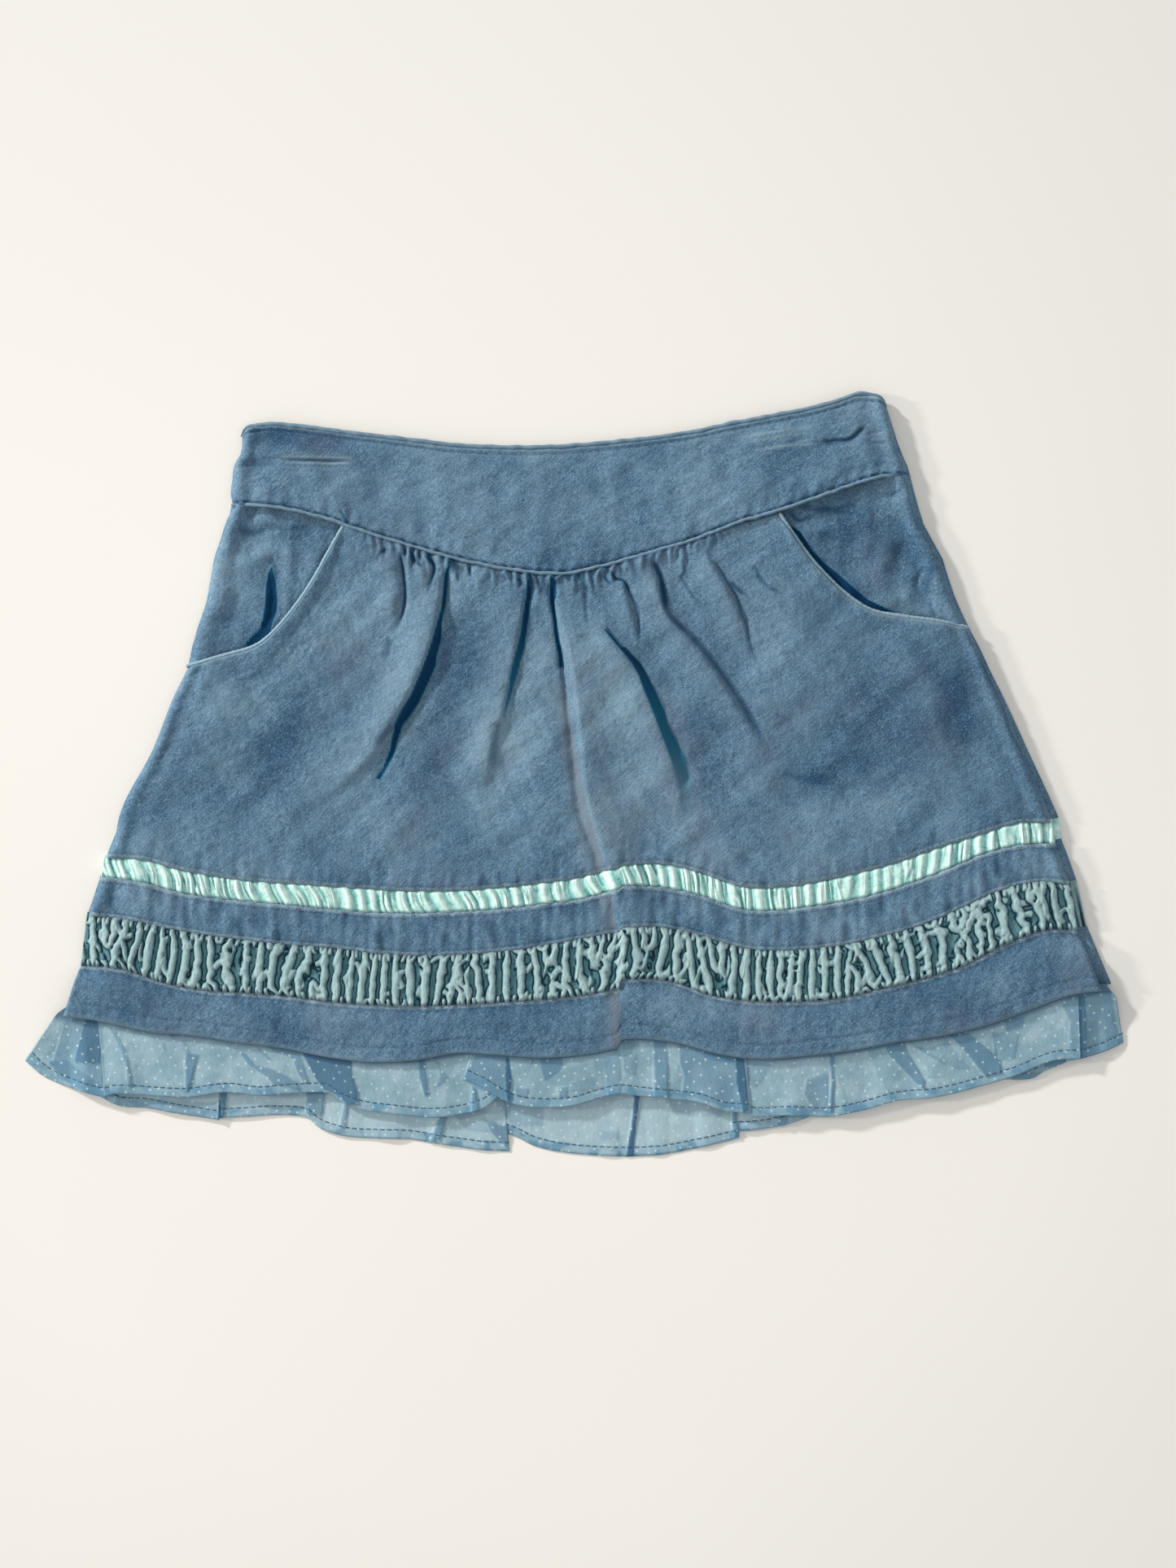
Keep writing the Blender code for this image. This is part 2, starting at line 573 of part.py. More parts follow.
def main():
    for item in list(bpy.data.objects):
        bpy.data.objects.remove(item, do_unlink=True)
    collection = bpy.data.collections.new(OBJECT_NAME)
    bpy.context.scene.collection.children.link(collection)
    collection.objects.link(bpy.data.objects.new(OBJECT_NAME, None))
    make_back()
    make_yoke()
    make_hip("hip_left", LEFT_MOUTH, True)
    make_hip("hip_right", RIGHT_MOUTH, False)
    make_panel()
    make_front_trims()
    make_ruffles()
    make_piping()


main()
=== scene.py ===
# A child's flared velour skirt laid flat on a pale floor, front side up, seen from straight above.
# Lengths are written in millimetres and scaled by MM where a mesh is made; those of the floor, the
# lamps, the camera and the flat cuts are in metres. +Y runs from hem to waist.

from collections import namedtuple

import bpy
import numpy as np
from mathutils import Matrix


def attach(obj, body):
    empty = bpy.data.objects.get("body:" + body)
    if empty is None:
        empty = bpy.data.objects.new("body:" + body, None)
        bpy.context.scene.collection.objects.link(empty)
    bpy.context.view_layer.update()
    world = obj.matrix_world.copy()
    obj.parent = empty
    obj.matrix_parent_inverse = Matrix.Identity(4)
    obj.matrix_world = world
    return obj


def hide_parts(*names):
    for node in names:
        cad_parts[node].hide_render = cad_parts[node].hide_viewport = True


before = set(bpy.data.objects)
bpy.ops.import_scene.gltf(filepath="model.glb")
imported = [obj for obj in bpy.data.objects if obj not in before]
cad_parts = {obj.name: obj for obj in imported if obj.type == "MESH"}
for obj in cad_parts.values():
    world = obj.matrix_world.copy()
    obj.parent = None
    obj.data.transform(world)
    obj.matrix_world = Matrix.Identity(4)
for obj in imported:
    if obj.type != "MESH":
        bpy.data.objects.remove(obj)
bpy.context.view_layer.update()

MM = 0.001
FLOOR_WIDTH = 6.0

# Cloth thicknesses and where the layers lie above the floor
VELOUR = 1.3
SATIN = 0.5
VELVET = 0.8
VOILE = 0.4
BACK_TOP = 1.5
LOWEST_UNDER = 1.52
LOWEST_FRONT = 1.7
LOWEST_FACE = 1.9

# Radii of rounded edges, and how far in from a side edge its roll and its bulges reach
EDGE_ROUND = 0.9
CUFF_ROUND = 2.6
WAIST_CORNER = 3.2
SIDE_ROLL = 14.0
SIDE_FADE = 16.0
SIDE_REACH = 149.0

# A width that keeps the other side edge out of reach, for a piece that has only one
ONE_SIDE_WIDTH = 300.0

# How wide an edge is overlocked, and how far off the ditch of its stitches lies
SERGING_WIDTH = 1.4
DITCH_PLACE = 1.9

# How far an inset runs under its neighbours, the widths of the velvet's links and teeth as shares of
# its main ridges, and the height where those run together
INSET_TUCK = 1.4
LINK_WIDTH = 0.8
TOOTH_WIDTH = 0.48
VELVET_TALLEST = 1.1

# Seam lines of the skirt: the ends of the front's line, how far the back shows past its right end,
# how much the back's line sags, the step at the centre lap, and the line's height at LINE_STEPS equal
# steps from the left end to the back's right end, with the step left out.
LINE_STEPS = 24
Line = namedtuple("Line", "left right strip sag lap heights")
LINES = {
    "waist": Line(-127.5, 119.5, 0, 12, 0, (132.3, 133.8, 133.1, 131.8, 130.5, 129.2, 128, 126.7, 125.6,
        125.1, 124.8, 124.8, 125.2, 126, 127, 128.1, 129.5, 131.1, 133.4, 135.4, 137.4, 139.3, 142, 145.2,
        143.9)),
    "yoke": Line(-131, 127, 0.5, 20, 0, (103.4, 103, 101.5, 99.1, 95.8, 92, 88.8, 85.5, 82.6, 80.1, 78.4,
        77.1, 77.2, 79.5, 82.3, 85.4, 88.5, 92.4, 96.6, 99.7, 103.2, 106.9, 110.7, 113.9, 114.5)),
    "satin_top": Line(-180, 183, 2.5, 13, 0.6, (-31.7, -32.6, -36.7, -39.4, -41.1, -42, -43.1, -44.1, -44.6,
        -44.3, -43.2, -41.5, -39.2, -35.5, -34.8, -38.2, -43.4, -43.8, -41.4, -38.1, -33.7, -28.4, -23.5,
        -19.1, -18.9)),
    "satin_low": Line(-181.5, 184.5, 2.5, 13, 1.2, (-38.9, -40.7, -44.8, -47.1, -48.7, -50.1, -51.4, -52.6,
        -52.7, -52, -51.1, -49.3, -47.3, -43.5, -43.9, -47.3, -52.4, -52.7, -50.6, -48, -43.4, -37.8, -31.3,
        -27.7, -27.5)),
    "velvet_top": Line(-186.5, 190, 2.5, 13, 1.8, (-53.8, -55.6, -59, -61.6, -63.7, -65.3, -66.4, -68.4,
        -69.4, -68.9, -67.9, -65.7, -62.9, -60.4, -60.4, -64.1, -68.4, -69.1, -67.9, -64.8, -60.6, -54.3,
        -46.9, -43, -44)),
    "velvet_low": Line(-189, 192.5, 4.5, 13, 3.6, (-72.7, -74, -79.1, -82.1, -83.1, -84.5, -86.5, -87.7,
        -88.1, -87.6, -86.7, -85.6, -83.8, -81.4, -82, -87.5, -89.8, -90, -88.8, -85.3, -81.3, -76.2, -68,
        -62.6, -63.4)),
    "hem": Line(-195, 201.5, 5, 13, 3, (-92, -94.6, -98.2, -99.6, -102.2, -104.3, -107.7, -109.6, -109,
        -106.2, -107, -108, -106.5, -103.7, -105.3, -109.7, -111.5, -110.2, -108.2, -105.1, -102.8, -98.9,
        -93.1, -87.1, -85)),
}

# Where the bands step at the lap, and how the back's lines and its side edges lie to the front's
LAP_PLACE = 17.6
LAP_WIDTH = 1.6
BACK_RISE = 2.0
BACK_WAIST_DROP = 4.0
BACK_INSET = 0.6

# Pocket mouths, from the side seam up to the yoke seam
LEFT_MOUTH = ((-148, 41.1), (-133, 45.3), (-122, 48.6), (-114.2, 54.5), (-104.8, 65.8), (-98.6, 75.2),
    (-93.5, 84.5), (-87.3, 95.4))
RIGHT_MOUTH = ((150.5, 55.8), (138.9, 58.3), (124.8, 60.2), (112.7, 62.7), (101.4, 70.5), (91.1, 81.1),
    (83.6, 91.1), (78, 99.6))
# How far the hips run on under them, and the sag of the back at their height
HIP_MARGIN = 8.0
BACK_POCKET_SAG = 16.0

# Underside of the front at each line, at the sides and inside them
Layer = namedtuple("Layer", "side inside")
LAYERS = {
    "waist": Layer(1.6, 2.4),
    "yoke": Layer(1.6, 3.7),
    "satin_top": Layer(1.6, 3.2),
    "satin_low": Layer(1.6, 3.2),
    "velvet_top": Layer(1.6, 3.2),
    "velvet_low": Layer(1.6, 3.4),
    "hem": Layer(4.5, 4.5),
}
# The share of the way down to the hem over which the front rises
HEM_RISE_SHARE = 0.42

# Strokes: a line from top to bottom, an amount, and how far it spreads to its left and its right
Stroke = namedtuple("Stroke", "line amount left right")

# Ridges of the front panel's folds
FOLDS = (
    Stroke(((-70, 86), (-69, 70), (-72, 52)), 1.2, 6, 2.4),
    Stroke(((-59.5, 87), (-58, 78), (-58.5, 70)), 1, 2.6, 1.8),
    Stroke(((-51.5, 84), (-52.3, 66), (-55.2, 50), (-60.5, 36), (-69, 22), (-84, 2), (-110, -15)), 3.2, 10,
        3),
    Stroke(((-19, 76), (-21, 60), (-25, 38), (-31, 14), (-40, -22)), 1.7, 8, 2.6),
    Stroke(((-6.6, 76), (-4, 60), (-0.5, 46), (3, 20), (6, -10), (14, -34), (19, -58), (21, -82),
        (22, -108)), 2.6, 2.6, 10),
    Stroke(((8, 64), (13.5, 52), (21.5, 42.5), (27, 33), (32, 20), (38.5, -2), (40, -20)), 3.2, 11, 3),
    Stroke(((17, 76), (21, 60), (24, 50)), 1.2, 3.6, 1.9),
    Stroke(((27.5, 84), (31.5, 70), (39, 55.5), (54, 37), (67, 17), (77, 0)), 2.2, 8, 3),
    Stroke(((47.5, 88), (55.5, 74), (62, 60), (66.5, 46)), 1.5, 6, 2.6),
    Stroke(((66, 84), (72, 76), (80, 64)), 1, 6, 4),
    Stroke(((82, 84), (92, 50), (104, 10)), 1.4, 14, 12),
    Stroke(((120, 52), (134, 34), (140, 8), (150, -14)), 1.5, 12, 5),
    Stroke(((-130, 40), (-136, 20), (-142, -8)), 1.2, 10, 8),
)

# Troughs beside them, where the cloth folds in and lies in shade
TROUGHS = (
    Stroke(((-66.1, 86.4), (-65.2, 78.9), (-64.5, 67.7), (-65.8, 61.7), (-70.5, 51.4)), 0.7, 1, 1.2),
    Stroke(((-57, 86.4), (-53.9, 79.8), (-55.8, 72.7)), 0.6, 0.9, 1),
    Stroke(((-47.7, 80.2), (-49.5, 66.1), (-52.7, 48.9), (-58, 37.3), (-63.6, 25.8), (-68.6, 14.5),
        (-73, 2.3), (-77.3, -5.5)), 1.2, 1.9, 2.6),
    Stroke(((-15.8, 76.2), (-18.3, 61.7), (-20.5, 50.8), (-22.7, 36.1), (-28.3, 14.8)), 1.1, 1.2, 1.4),
    Stroke(((-9.4, 76.2), (-8.6, 68.9), (-5.5, 50.8), (-3.3, 32), (-1.7, 16.4)), 1.2, 1, 1),
    Stroke(((-3.3, 32), (-1.7, 16.4), (0.2, 0.8), (2, -14.8), (9.2, -33.6), (15.5, -58.6)), 0.6, 1.4, 1.2),
    Stroke(((11.7, 56.1), (16.4, 49.5), (23, 44.5), (28, 36.1), (30.8, 28.9), (34.2, 20.2), (38, 10.2),
        (41.4, 0.2), (42.7, -14.8)), 0.9, 1.8, 2.2),
    Stroke(((19.8, 73.3), (24.2, 58.9), (25.5, 52.3)), 0.7, 0.9, 1),
    Stroke(((30.2, 82), (33.6, 72.7), (35.2, 64.8), (42.3, 55.5), (49.5, 47.7), (56.7, 37.3), (60.8, 30.2),
        (66.7, 21.7), (71.7, 11.7), (76.7, 4.5)), 1, 1.2, 1.6),
    Stroke(((50.2, 86.1), (56.7, 76.1), (62.3, 66.1), (66.1, 58.9), (69.5, 47.7)), 0.9, 1.1, 1.4),
    Stroke(((69.5, 76.1), (75.2, 70.5)), 0.5, 0.8, 1),
    Stroke(((154.5, 46.1), (158.6, 37.7), (163.6, 25.8), (164.2, 15.8), (168.3, 9.5), (174.8, 0.2),
        (178.6, -8.6), (180.2, -14.2)), 0.6, 0.7, 0.7),
)

# Patches: how dark they are at the top, their corners, and how dark at the foot, if not the same
Patch = namedtuple("Patch", "dark corners low", defaults=(None,))

# Wedges of painted shade, teal to dark blue, where the front panel folds in deeply; they also dent it
PANEL_SHADE_WEDGES = (
    Patch(1, ((-47.1, 80.2), (-48.2, 77), (-48.7, 69.2), (-49.6, 63.6), (-50.7, 58), (-50.7, 52.2),
        (-52.3, 46.5), (-53.1, 41.6), (-56, 34.5), (-59.5, 27.3), (-62.3, 23.1), (-65.6, 18.9),
        (-67.7, 12.4), (-68.8, 7.5), (-71.6, 2.5), (-74.1, -1.7), (-75.9, -1.7), (-73, 2.5), (-70.5, 8.9),
        (-69.5, 13.9), (-68.4, 19.5), (-65.9, 24.5), (-62.3, 30.2), (-58.8, 38), (-56, 45.2), (-53.9, 51.5),
        (-52.1, 58), (-50.7, 63), (-49.9, 69.2), (-49.2, 77), (-47.8, 80.2)), 0.75),
    Patch(0.95, ((-17.3, 75.8), (-16.6, 72), (-16.2, 70), (-17, 65.8), (-17.5, 59.3), (-18.3, 53.6),
        (-19.1, 48), (-20.5, 43.7), (-21.7, 38.7), (-23.2, 33.8), (-24.3, 29.5), (-25.5, 25.7),
        (-26.6, 21.7), (-27, 21.7), (-26.5, 25.9), (-25.2, 31.7), (-24, 40.2), (-22.7, 45.2), (-21.2, 50.8),
        (-20.2, 55.2), (-19.8, 59.3), (-18.7, 65.8), (-18, 70), (-17.8, 74.2)), 0.35),
    Patch(1, ((-8.8, 75.8), (-7, 74.2), (-6.7, 69.2), (-7.7, 65.8), (-6.7, 59.2), (-6.2, 53.6), (-4.8, 48),
        (-4.2, 41.4), (-5.8, 40.8), (-5.9, 45.2), (-7.3, 52.2), (-8, 59.2), (-9.2, 66.4), (-9.1, 73.6)),
        0.8),
    Patch(0.9, ((11, 56.1), (14.8, 53.3), (17.7, 49.3), (19.8, 48.6), (22.7, 45.5), (25.5, 42.7),
        (28.3, 37.7), (31.2, 31.9), (33, 27.7), (34.8, 24.1), (35.8, 19.8), (38.3, 14.8), (40.5, 10.6),
        (42.7, 7), (43.6, 4.2), (44.4, -3.6), (44.4, -10), (43.6, -14.2), (41.9, -15.7), (40.8, -12.8),
        (40.5, -6.4), (39.1, -0.1), (36.9, 5.6), (34.8, 11.4), (32.7, 17), (30.5, 22.7), (28.4, 28.3),
        (26.2, 33.3), (24.5, 38.3), (22, 42.7), (19.2, 46.1), (16.3, 49.7), (13.5, 53)), 0.1),
)

# Thin dark creases of the front panel
SHADES = (
    Stroke(((-66.5, 87), (-65.9, 81.4), (-65.1, 76.4), (-64.5, 70.8), (-64.8, 65), (-65.9, 60.2),
        (-68, 55.2), (-69.5, 52.2)), 1, 0.6, 0.6),
    Stroke(((-56.1, 84.8), (-55.3, 82.3), (-53.5, 80.2), (-53.7, 77), (-54.9, 72.8), (-56, 68.9)), 0.95,
        0.7, 0.7),
    Stroke(((-61.7, 84.2), (-58.9, 80.2), (-56.4, 79.5)), 0.7, 0.6, 0.6),
    Stroke(((-64.4, 87), (-64.3, 85.2), (-64.4, 83.1)), 0.65, 0.6, 0.6),
    Stroke(((-71.2, 86.7), (-74.5, 84.2), (-75.2, 80.5)), 0.7, 0.6, 0.6),
    Stroke(((-59.2, 85.5), (-59.1, 83.9), (-58.9, 82.3)), 0.55, 0.6, 0.6),
    Stroke(((-40, 79.8), (-39.8, 77.7), (-39.5, 75.2)), 0.85, 0.6, 0.6),
    Stroke(((-27.3, 77), (-26.7, 75.8), (-25.5, 73.9)), 0.7, 0.6, 0.6),
    Stroke(((-21.7, 75.2), (-20.5, 73.9), (-19.8, 72)), 0.6, 0.6, 0.6),
    Stroke(((-14.2, 74.5), (-13.9, 72.7), (-14.2, 70.2)), 0.6, 0.6, 0.6),
    Stroke(((29.5, 82), (31.4, 78.9), (33, 75.2), (34.1, 68.9), (35.5, 62.4)), 0.95, 1, 1.4),
    Stroke(((33, 75.2), (34.1, 68.9), (35.5, 62.4), (38.3, 58.9), (42.7, 55.3), (47.6, 50.5), (51.7, 45.5),
        (56.1, 39.7), (61.1, 32.7), (66, 24.8), (71, 15.6), (75.2, 7.7), (79.5, 2.8)), 0.65, 1.3, 1.1),
    Stroke(((52.5, 83), (56.1, 78.1), (59.5, 72.3), (62.5, 67.3), (63.9, 61.7), (66, 56.7), (67, 51.1),
        (68.9, 45.5), (72.3, 39.7)), 0.65, 0.7, 0.6),
    Stroke(((59.5, 73.9), (63.3, 70.2), (67.7, 68.3)), 0.65, 0.8, 0.8),
    Stroke(((13.9, 78.4), (15.6, 75.2), (19.2, 73.9), (21.3, 69.5)), 1, 0.6, 0.6),
    Stroke(((19.2, 73.9), (21.3, 69.5), (24.1, 63.9), (24.8, 56.7), (25, 45.5)), 0.6, 0.9, 0.6),
    Stroke(((11.7, 78.1), (12, 75.2), (14.8, 72)), 0.85, 0.6, 0.6),
    Stroke(((4.8, 73.1), (4.5, 63.9), (5.3, 55.3)), 0.55, 0.8, 0.6),
    Stroke(((0, 76.7), (0.2, 74.8), (0.3, 73.1)), 0.65, 0.6, 0.6),
    Stroke(((2, 77), (2.3, 75.2), (2.7, 73.6)), 0.6, 0.6, 0.6),
    Stroke(((41.1, 83.8), (42.3, 77.3), (41.1, 75.9), (44.7, 69.5), (50.5, 62.4)), 0.55, 0.8, 0.6),
    Stroke(((-29.2, 21.1), (-30.2, 11.7), (-31.1, 0.8)), 0.45, 2.2, 1.4),
    Stroke(((-69.5, 52.3), (-70.8, 47.7), (-72.3, 43)), 0.5, 1.5, 0.8),
    Stroke(((-68.6, 19.5), (-72.7, 14.8), (-76.1, 10.2)), 0.5, 1.6, 1.4),
    Stroke(((68.6, 80.5), (73.3, 72.7), (81.1, 68)), 0.6, 0.9, 0.7),
    Stroke(((154.5, 50.2), (158.3, 37.7), (163, 28.9), (167, 16.4), (172, 7), (177, -4.2), (179.8, -13.6)),
        0.65, 0.6, 0.6),
    Stroke(((11.7, 57), (14.9, 52.7), (18.6, 48.3), (22, 43.9), (25.2, 39)), 1, 0.8, 0.8),
    Stroke(((-48.9, 83), (-47.3, 80.2), (-48.4, 76), (-49, 70), (-49.9, 63), (-50.7, 57)), 1, 0.7, 0.7),
    Stroke(((-17.2, 77), (-16.9, 72), (-17.5, 66), (-18.2, 60)), 1, 0.8, 0.8),
    Stroke(((-62.5, 86.6), (-61.8, 83), (-60.2, 80)), 0.8, 0.6, 0.6),
    Stroke(((-44, 80.6), (-44.6, 77), (-44.2, 73.5)), 0.6, 0.6, 0.6),
    Stroke(((79.5, 0.8), (87.3, -1.7), (95.2, -2.3), (102.7, -4.5)), 0.5, 1.4, 1.6),
)

# Creases of the yoke and of the hips: ridges above 0 and troughs below it
YOKE_CREASES = (
    Stroke(((-118, 124), (-100, 125.5), (-82, 122.5)), 0.6, 4, 3),
    Stroke(((-128, 119.8), (-112.7, 120.8), (-95.5, 119.8), (-83, 120.4)), -0.5, 0.7, 0.7),
    Stroke(((-112.7, 118.6), (-95.5, 117.9), (-84, 118.4)), -0.4, 0.6, 0.6),
    Stroke(((-87.7, 102.5), (-87.5, 99), (-88.2, 94.5)), 0.7, 1.2, 1.2),
    Stroke(((95.2, 126.4), (101, 126.6), (107.7, 128.9), (111.4, 134.5)), -0.7, 0.9, 1),
    Stroke(((58, 126), (84, 132), (110, 137)), 0.5, 4, 3),
    Stroke(((112.3, 128.9), (118.6, 128.9)), -0.4, 0.6, 0.6),
)
HIP_CREASES = (
    Stroke(((-126.7, 92), (-114.2, 94.4), (-104.8, 91.4)), -0.6, 1.2, 1.4),
    Stroke(((-124, 84), (-112, 86), (-104, 80)), 0.7, 3, 3),
    Stroke(((-115.8, 86), (-114.8, 69.5), (-117.3, 57.5), (-125.2, 49.7)), -1, 1.4, 1.2),
    Stroke(((-110, 84), (-109.5, 70), (-112, 60)), 0.6, 2, 2.5),
    Stroke(((82.7, 103.9), (98.3, 101.4), (113.9, 97.7)), -0.6, 1, 1.2),
    Stroke(((135.8, 80.9), (131, 73.1), (135.8, 64.3)), -0.6, 1.2, 1),
    Stroke(((124, 92), (118, 80), (110, 72)), 0.6, 4, 3),
    Stroke(((144.5, 68), (149.8, 60.2)), -0.5, 1, 1),
)

# Where the velour is lighter, above 0, or darker, below it, in broad strokes of pile tone and painted shade
YOKE_NAP_AND_SHADE = (
    Stroke(((-126, 130.5), (-110, 130), (-96, 128), (-82, 125.5)), -1.1, 4.5, 4.5),
    Stroke(((60, 128), (84, 132), (104, 134)), 0.35, 4, 4),
    Stroke(((-20, 90), (0, 86), (20, 92)), -0.3, 8, 8),
)
PANEL_NAP_AND_SHADE = (
    Stroke(((-30, 34), (-30, 4), (-34, -32)), 0.5, 11, 12),
    Stroke(((104, 44), (112, 18), (114, -14)), -0.4, 22, 24),
    Stroke(((-122, 30), (-124, 0), (-126, -24)), -0.25, 18, 18),
    Stroke(((-150, 30), (-158, 0), (-168, -30)), -0.3, 16, 14),
    Stroke(((-128, 38), (-132, 10), (-136, -10)), 0.35, 8, 8),
    Stroke(((-100, 36), (-112, 10), (-126, -12)), -0.45, 9, 9),
    Stroke(((-42, 62), (-46, 34), (-56, 6), (-66, -14)), -0.5, 7, 9),
    Stroke(((-14, 60), (-14, 30), (-18, -10)), 0.35, 8, 7),
    Stroke(((14, 40), (18, 16), (22, -16)), 0.4, 9, 9),
    Stroke(((44, 30), (50, 6), (52, -20)), -0.6, 7, 10),
    Stroke(((62, 56), (76, 30), (92, 6)), 0.15, 8, 8),
    Stroke(((110, 56), (122, 30), (132, 0)), -0.35, 18, 18),
    Stroke(((142, 44), (148, 26), (150, 8)), -0.7, 6, 5),
    Stroke(((84, 0), (94, -2), (106, -6)), -0.5, 6, 6),
)
HIP_NAP_AND_SHADE = (
    Stroke(((-124, 96), (-130, 76), (-132, 58)), 0.35, 8, 8),
    Stroke(((90, 100), (112, 88), (130, 72)), -0.55, 14, 14),
    Stroke(((-106, 96), (-100, 84)), -0.3, 8, 8),
)

# Painted shade in the deep fold of the left hip and in the dark gap of the right pocket
HIP_SHADE_WEDGES = (
    Patch(1, ((-115.8, 79.7), (-114.4, 74.5), (-113.8, 67.7), (-114, 62.7), (-115.8, 57.3), (-116.6, 53),
        (-118.9, 51.1), (-123.3, 49.8), (-126.3, 49.2), (-123.3, 53), (-120.3, 55.8), (-118.9, 60.3),
        (-118.1, 66.2), (-117.7, 73), (-117, 77.4)), 1),
    Patch(1, ((78.3, 99.2), (81.9, 96.1), (86.6, 93), (91.2, 85.9), (95.9, 81.2), (101.4, 76.6),
        (107.7, 71.1), (112.3, 67.2), (118.6, 64.1), (122.5, 62.5), (125.6, 61.4), (120.2, 60.8),
        (114.7, 62.7), (109.2, 65.8), (103.8, 69.8), (98.3, 74.5), (93.6, 79.2), (89.7, 83.3), (86.6, 87.3),
        (83.4, 92), (79.5, 96.1)), 0.85),
)

# Thin dark creases of the hips
HIP_SHADES = (
    Stroke(((-129.8, 94.5), (-123.6, 93), (-117.3, 93.9)), 0.4, 1.6, 1.4),
    Stroke(((-109.8, 94.5), (-105.5, 95.2), (-100.5, 94.2)), 0.4, 1.2, 1),
    Stroke(((-145.5, 47.7), (-134.5, 50.8), (-126.7, 49.8)), 0.3, 1, 1),
    Stroke(((81.7, 101.4), (86.4, 97.3), (92, 100.5)), 0.65, 0.9, 0.9),
    Stroke(((90.5, 100.8), (101.4, 102.3), (111.4, 104.5)), 0.5, 1.3, 1),
    Stroke(((93, 93), (95.8, 92.3), (98.9, 93.3)), 0.4, 1.4, 1.2),
    Stroke(((120.8, 106.7), (123.3, 108.3), (125.8, 109.8)), 0.6, 0.8, 0.8),
    Stroke(((138.3, 82), (135.5, 73.9), (134.5, 65.8)), 0.5, 2, 1),
    Stroke(((136.1, 66.4), (136.7, 63.3), (138, 60.2)), 0.6, 0.6, 0.6),
    Stroke(((113.9, 91.4), (120.2, 88.3), (126.4, 82)), 0.25, 2.5, 2.5),
)

# Thin dark creases of the yoke
YOKE_SHADES = (
    Stroke(((93.6, 127.3), (99.8, 128.1), (105.3, 128.6), (109.2, 132), (112.7, 133.6)), 0.8, 0.8, 0.6),
    Stroke(((112, 130.2), (115.2, 131.4), (118.3, 132)), 0.5, 0.6, 0.6),
    Stroke(((111.4, 127.7), (115.5, 127), (119.5, 128)), 0.4, 0.7, 0.7),
    Stroke(((-128.6, 119.2), (-120.5, 118.9), (-113.6, 119.5)), 0.4, 1.3, 1.2),
    Stroke(((-112.3, 120.3), (-98.6, 120.3), (-83.9, 120)), 0.45, 0.5, 0.5),
    Stroke(((-89.5, 101.4), (-88, 98.9), (-87, 96.7)), 0.7, 0.7, 0.7),
    Stroke(((-51.7, 90.2), (-50.2, 94.5), (-48, 97.7)), 0.25, 1.5, 1.5),
    Stroke(((-31.1, 83.6), (-29.5, 87.7), (-28.3, 90.8)), 0.3, 1.2, 1.2),
    Stroke(((-10.5, 78.9), (-9.8, 83.3), (-10.5, 87.7)), 0.3, 1.6, 1.6),
)

# Pale pressed lines of the yoke
YOKE_PALE = (
    Stroke(((-113.3, 121.4), (-101.7, 121.6), (-83.3, 120.9)), 0.8, 0.42, 0.42),
    Stroke(((-112, 119.1), (-98.6, 119.2), (-83.6, 118.9)), 0.7, 0.42, 0.42),
    Stroke(((62.3, 128.9), (76.4, 131.1), (90.5, 133)), 0.5, 0.42, 0.42),
    Stroke(((62.3, 126.4), (76.4, 128.9), (91.4, 131.1)), 0.5, 0.42, 0.42),
    Stroke(((68.6, 123.9), (79.5, 125.5), (92.7, 126.7)), 0.5, 0.42, 0.42),
    Stroke(((74.8, 125.2), (82.7, 126.4), (90.8, 128.6)), 0.5, 0.42, 0.42),
)

# How strong the gathers are at places along the yoke seam
GATHER_PLACES = (-80, -70, -64, -46, -40, -32, -24, -8, 4, 16, 26, 42, 54, 60)
GATHER_SHARES = (0.4, 0.8, 1.2, 1.2, 0.6, 0.5, 1, 1.1, 1, 1, 0.5, 0.9, 0.9, 0.3)

# The greyish streak along the centre lap
LAP_STREAK = (
    Stroke(((-5.8, 41), (-2.7, 27), (-1.1, 15.5), (2, 0), (5, -14), (11, -36), (15.5, -58), (16.5, -80),
        (17, -106)), 0.8, 4.5, 0.8),
)

# Creases pressed into the back panel, which fan out from the yoke as those of the front do
BACK_CREASES = (
    Stroke(((-78, 84), (-88, 60), (-104, 28), (-122, 0)), 0.5, 3.6, 2.4),
    Stroke(((-46, 80), (-52, 52), (-64, 20)), 0.45, 2.4, 3.4),
    Stroke(((-18, 76), (-20, 50), (-28, 14), (-40, -20)), 0.5, 3.4, 2.6),
    Stroke(((10, 76), (15, 46), (18, 10)), 0.4, 2.4, 3),
    Stroke(((40, 80), (50, 54), (66, 24), (74, -4)), 0.5, 2.6, 3.8),
    Stroke(((74, 86), (86, 60), (92, 36)), 0.4, 2.4, 3),
    Stroke(((112, 60), (128, 26), (136, -6)), 0.45, 4, 3),
)

# The ruffles: how far they run up behind the hem, their turned hem, and its stitches
RUFFLE_TUCK = 6.0
RUFFLE_HEM = 3.5
RUFFLE_ROWS = 49
STITCH_LENGTH = 2.0
STITCH_PITCH = 2.7
STITCH_RADIUS = 0.2
CORD_SIDES = 10

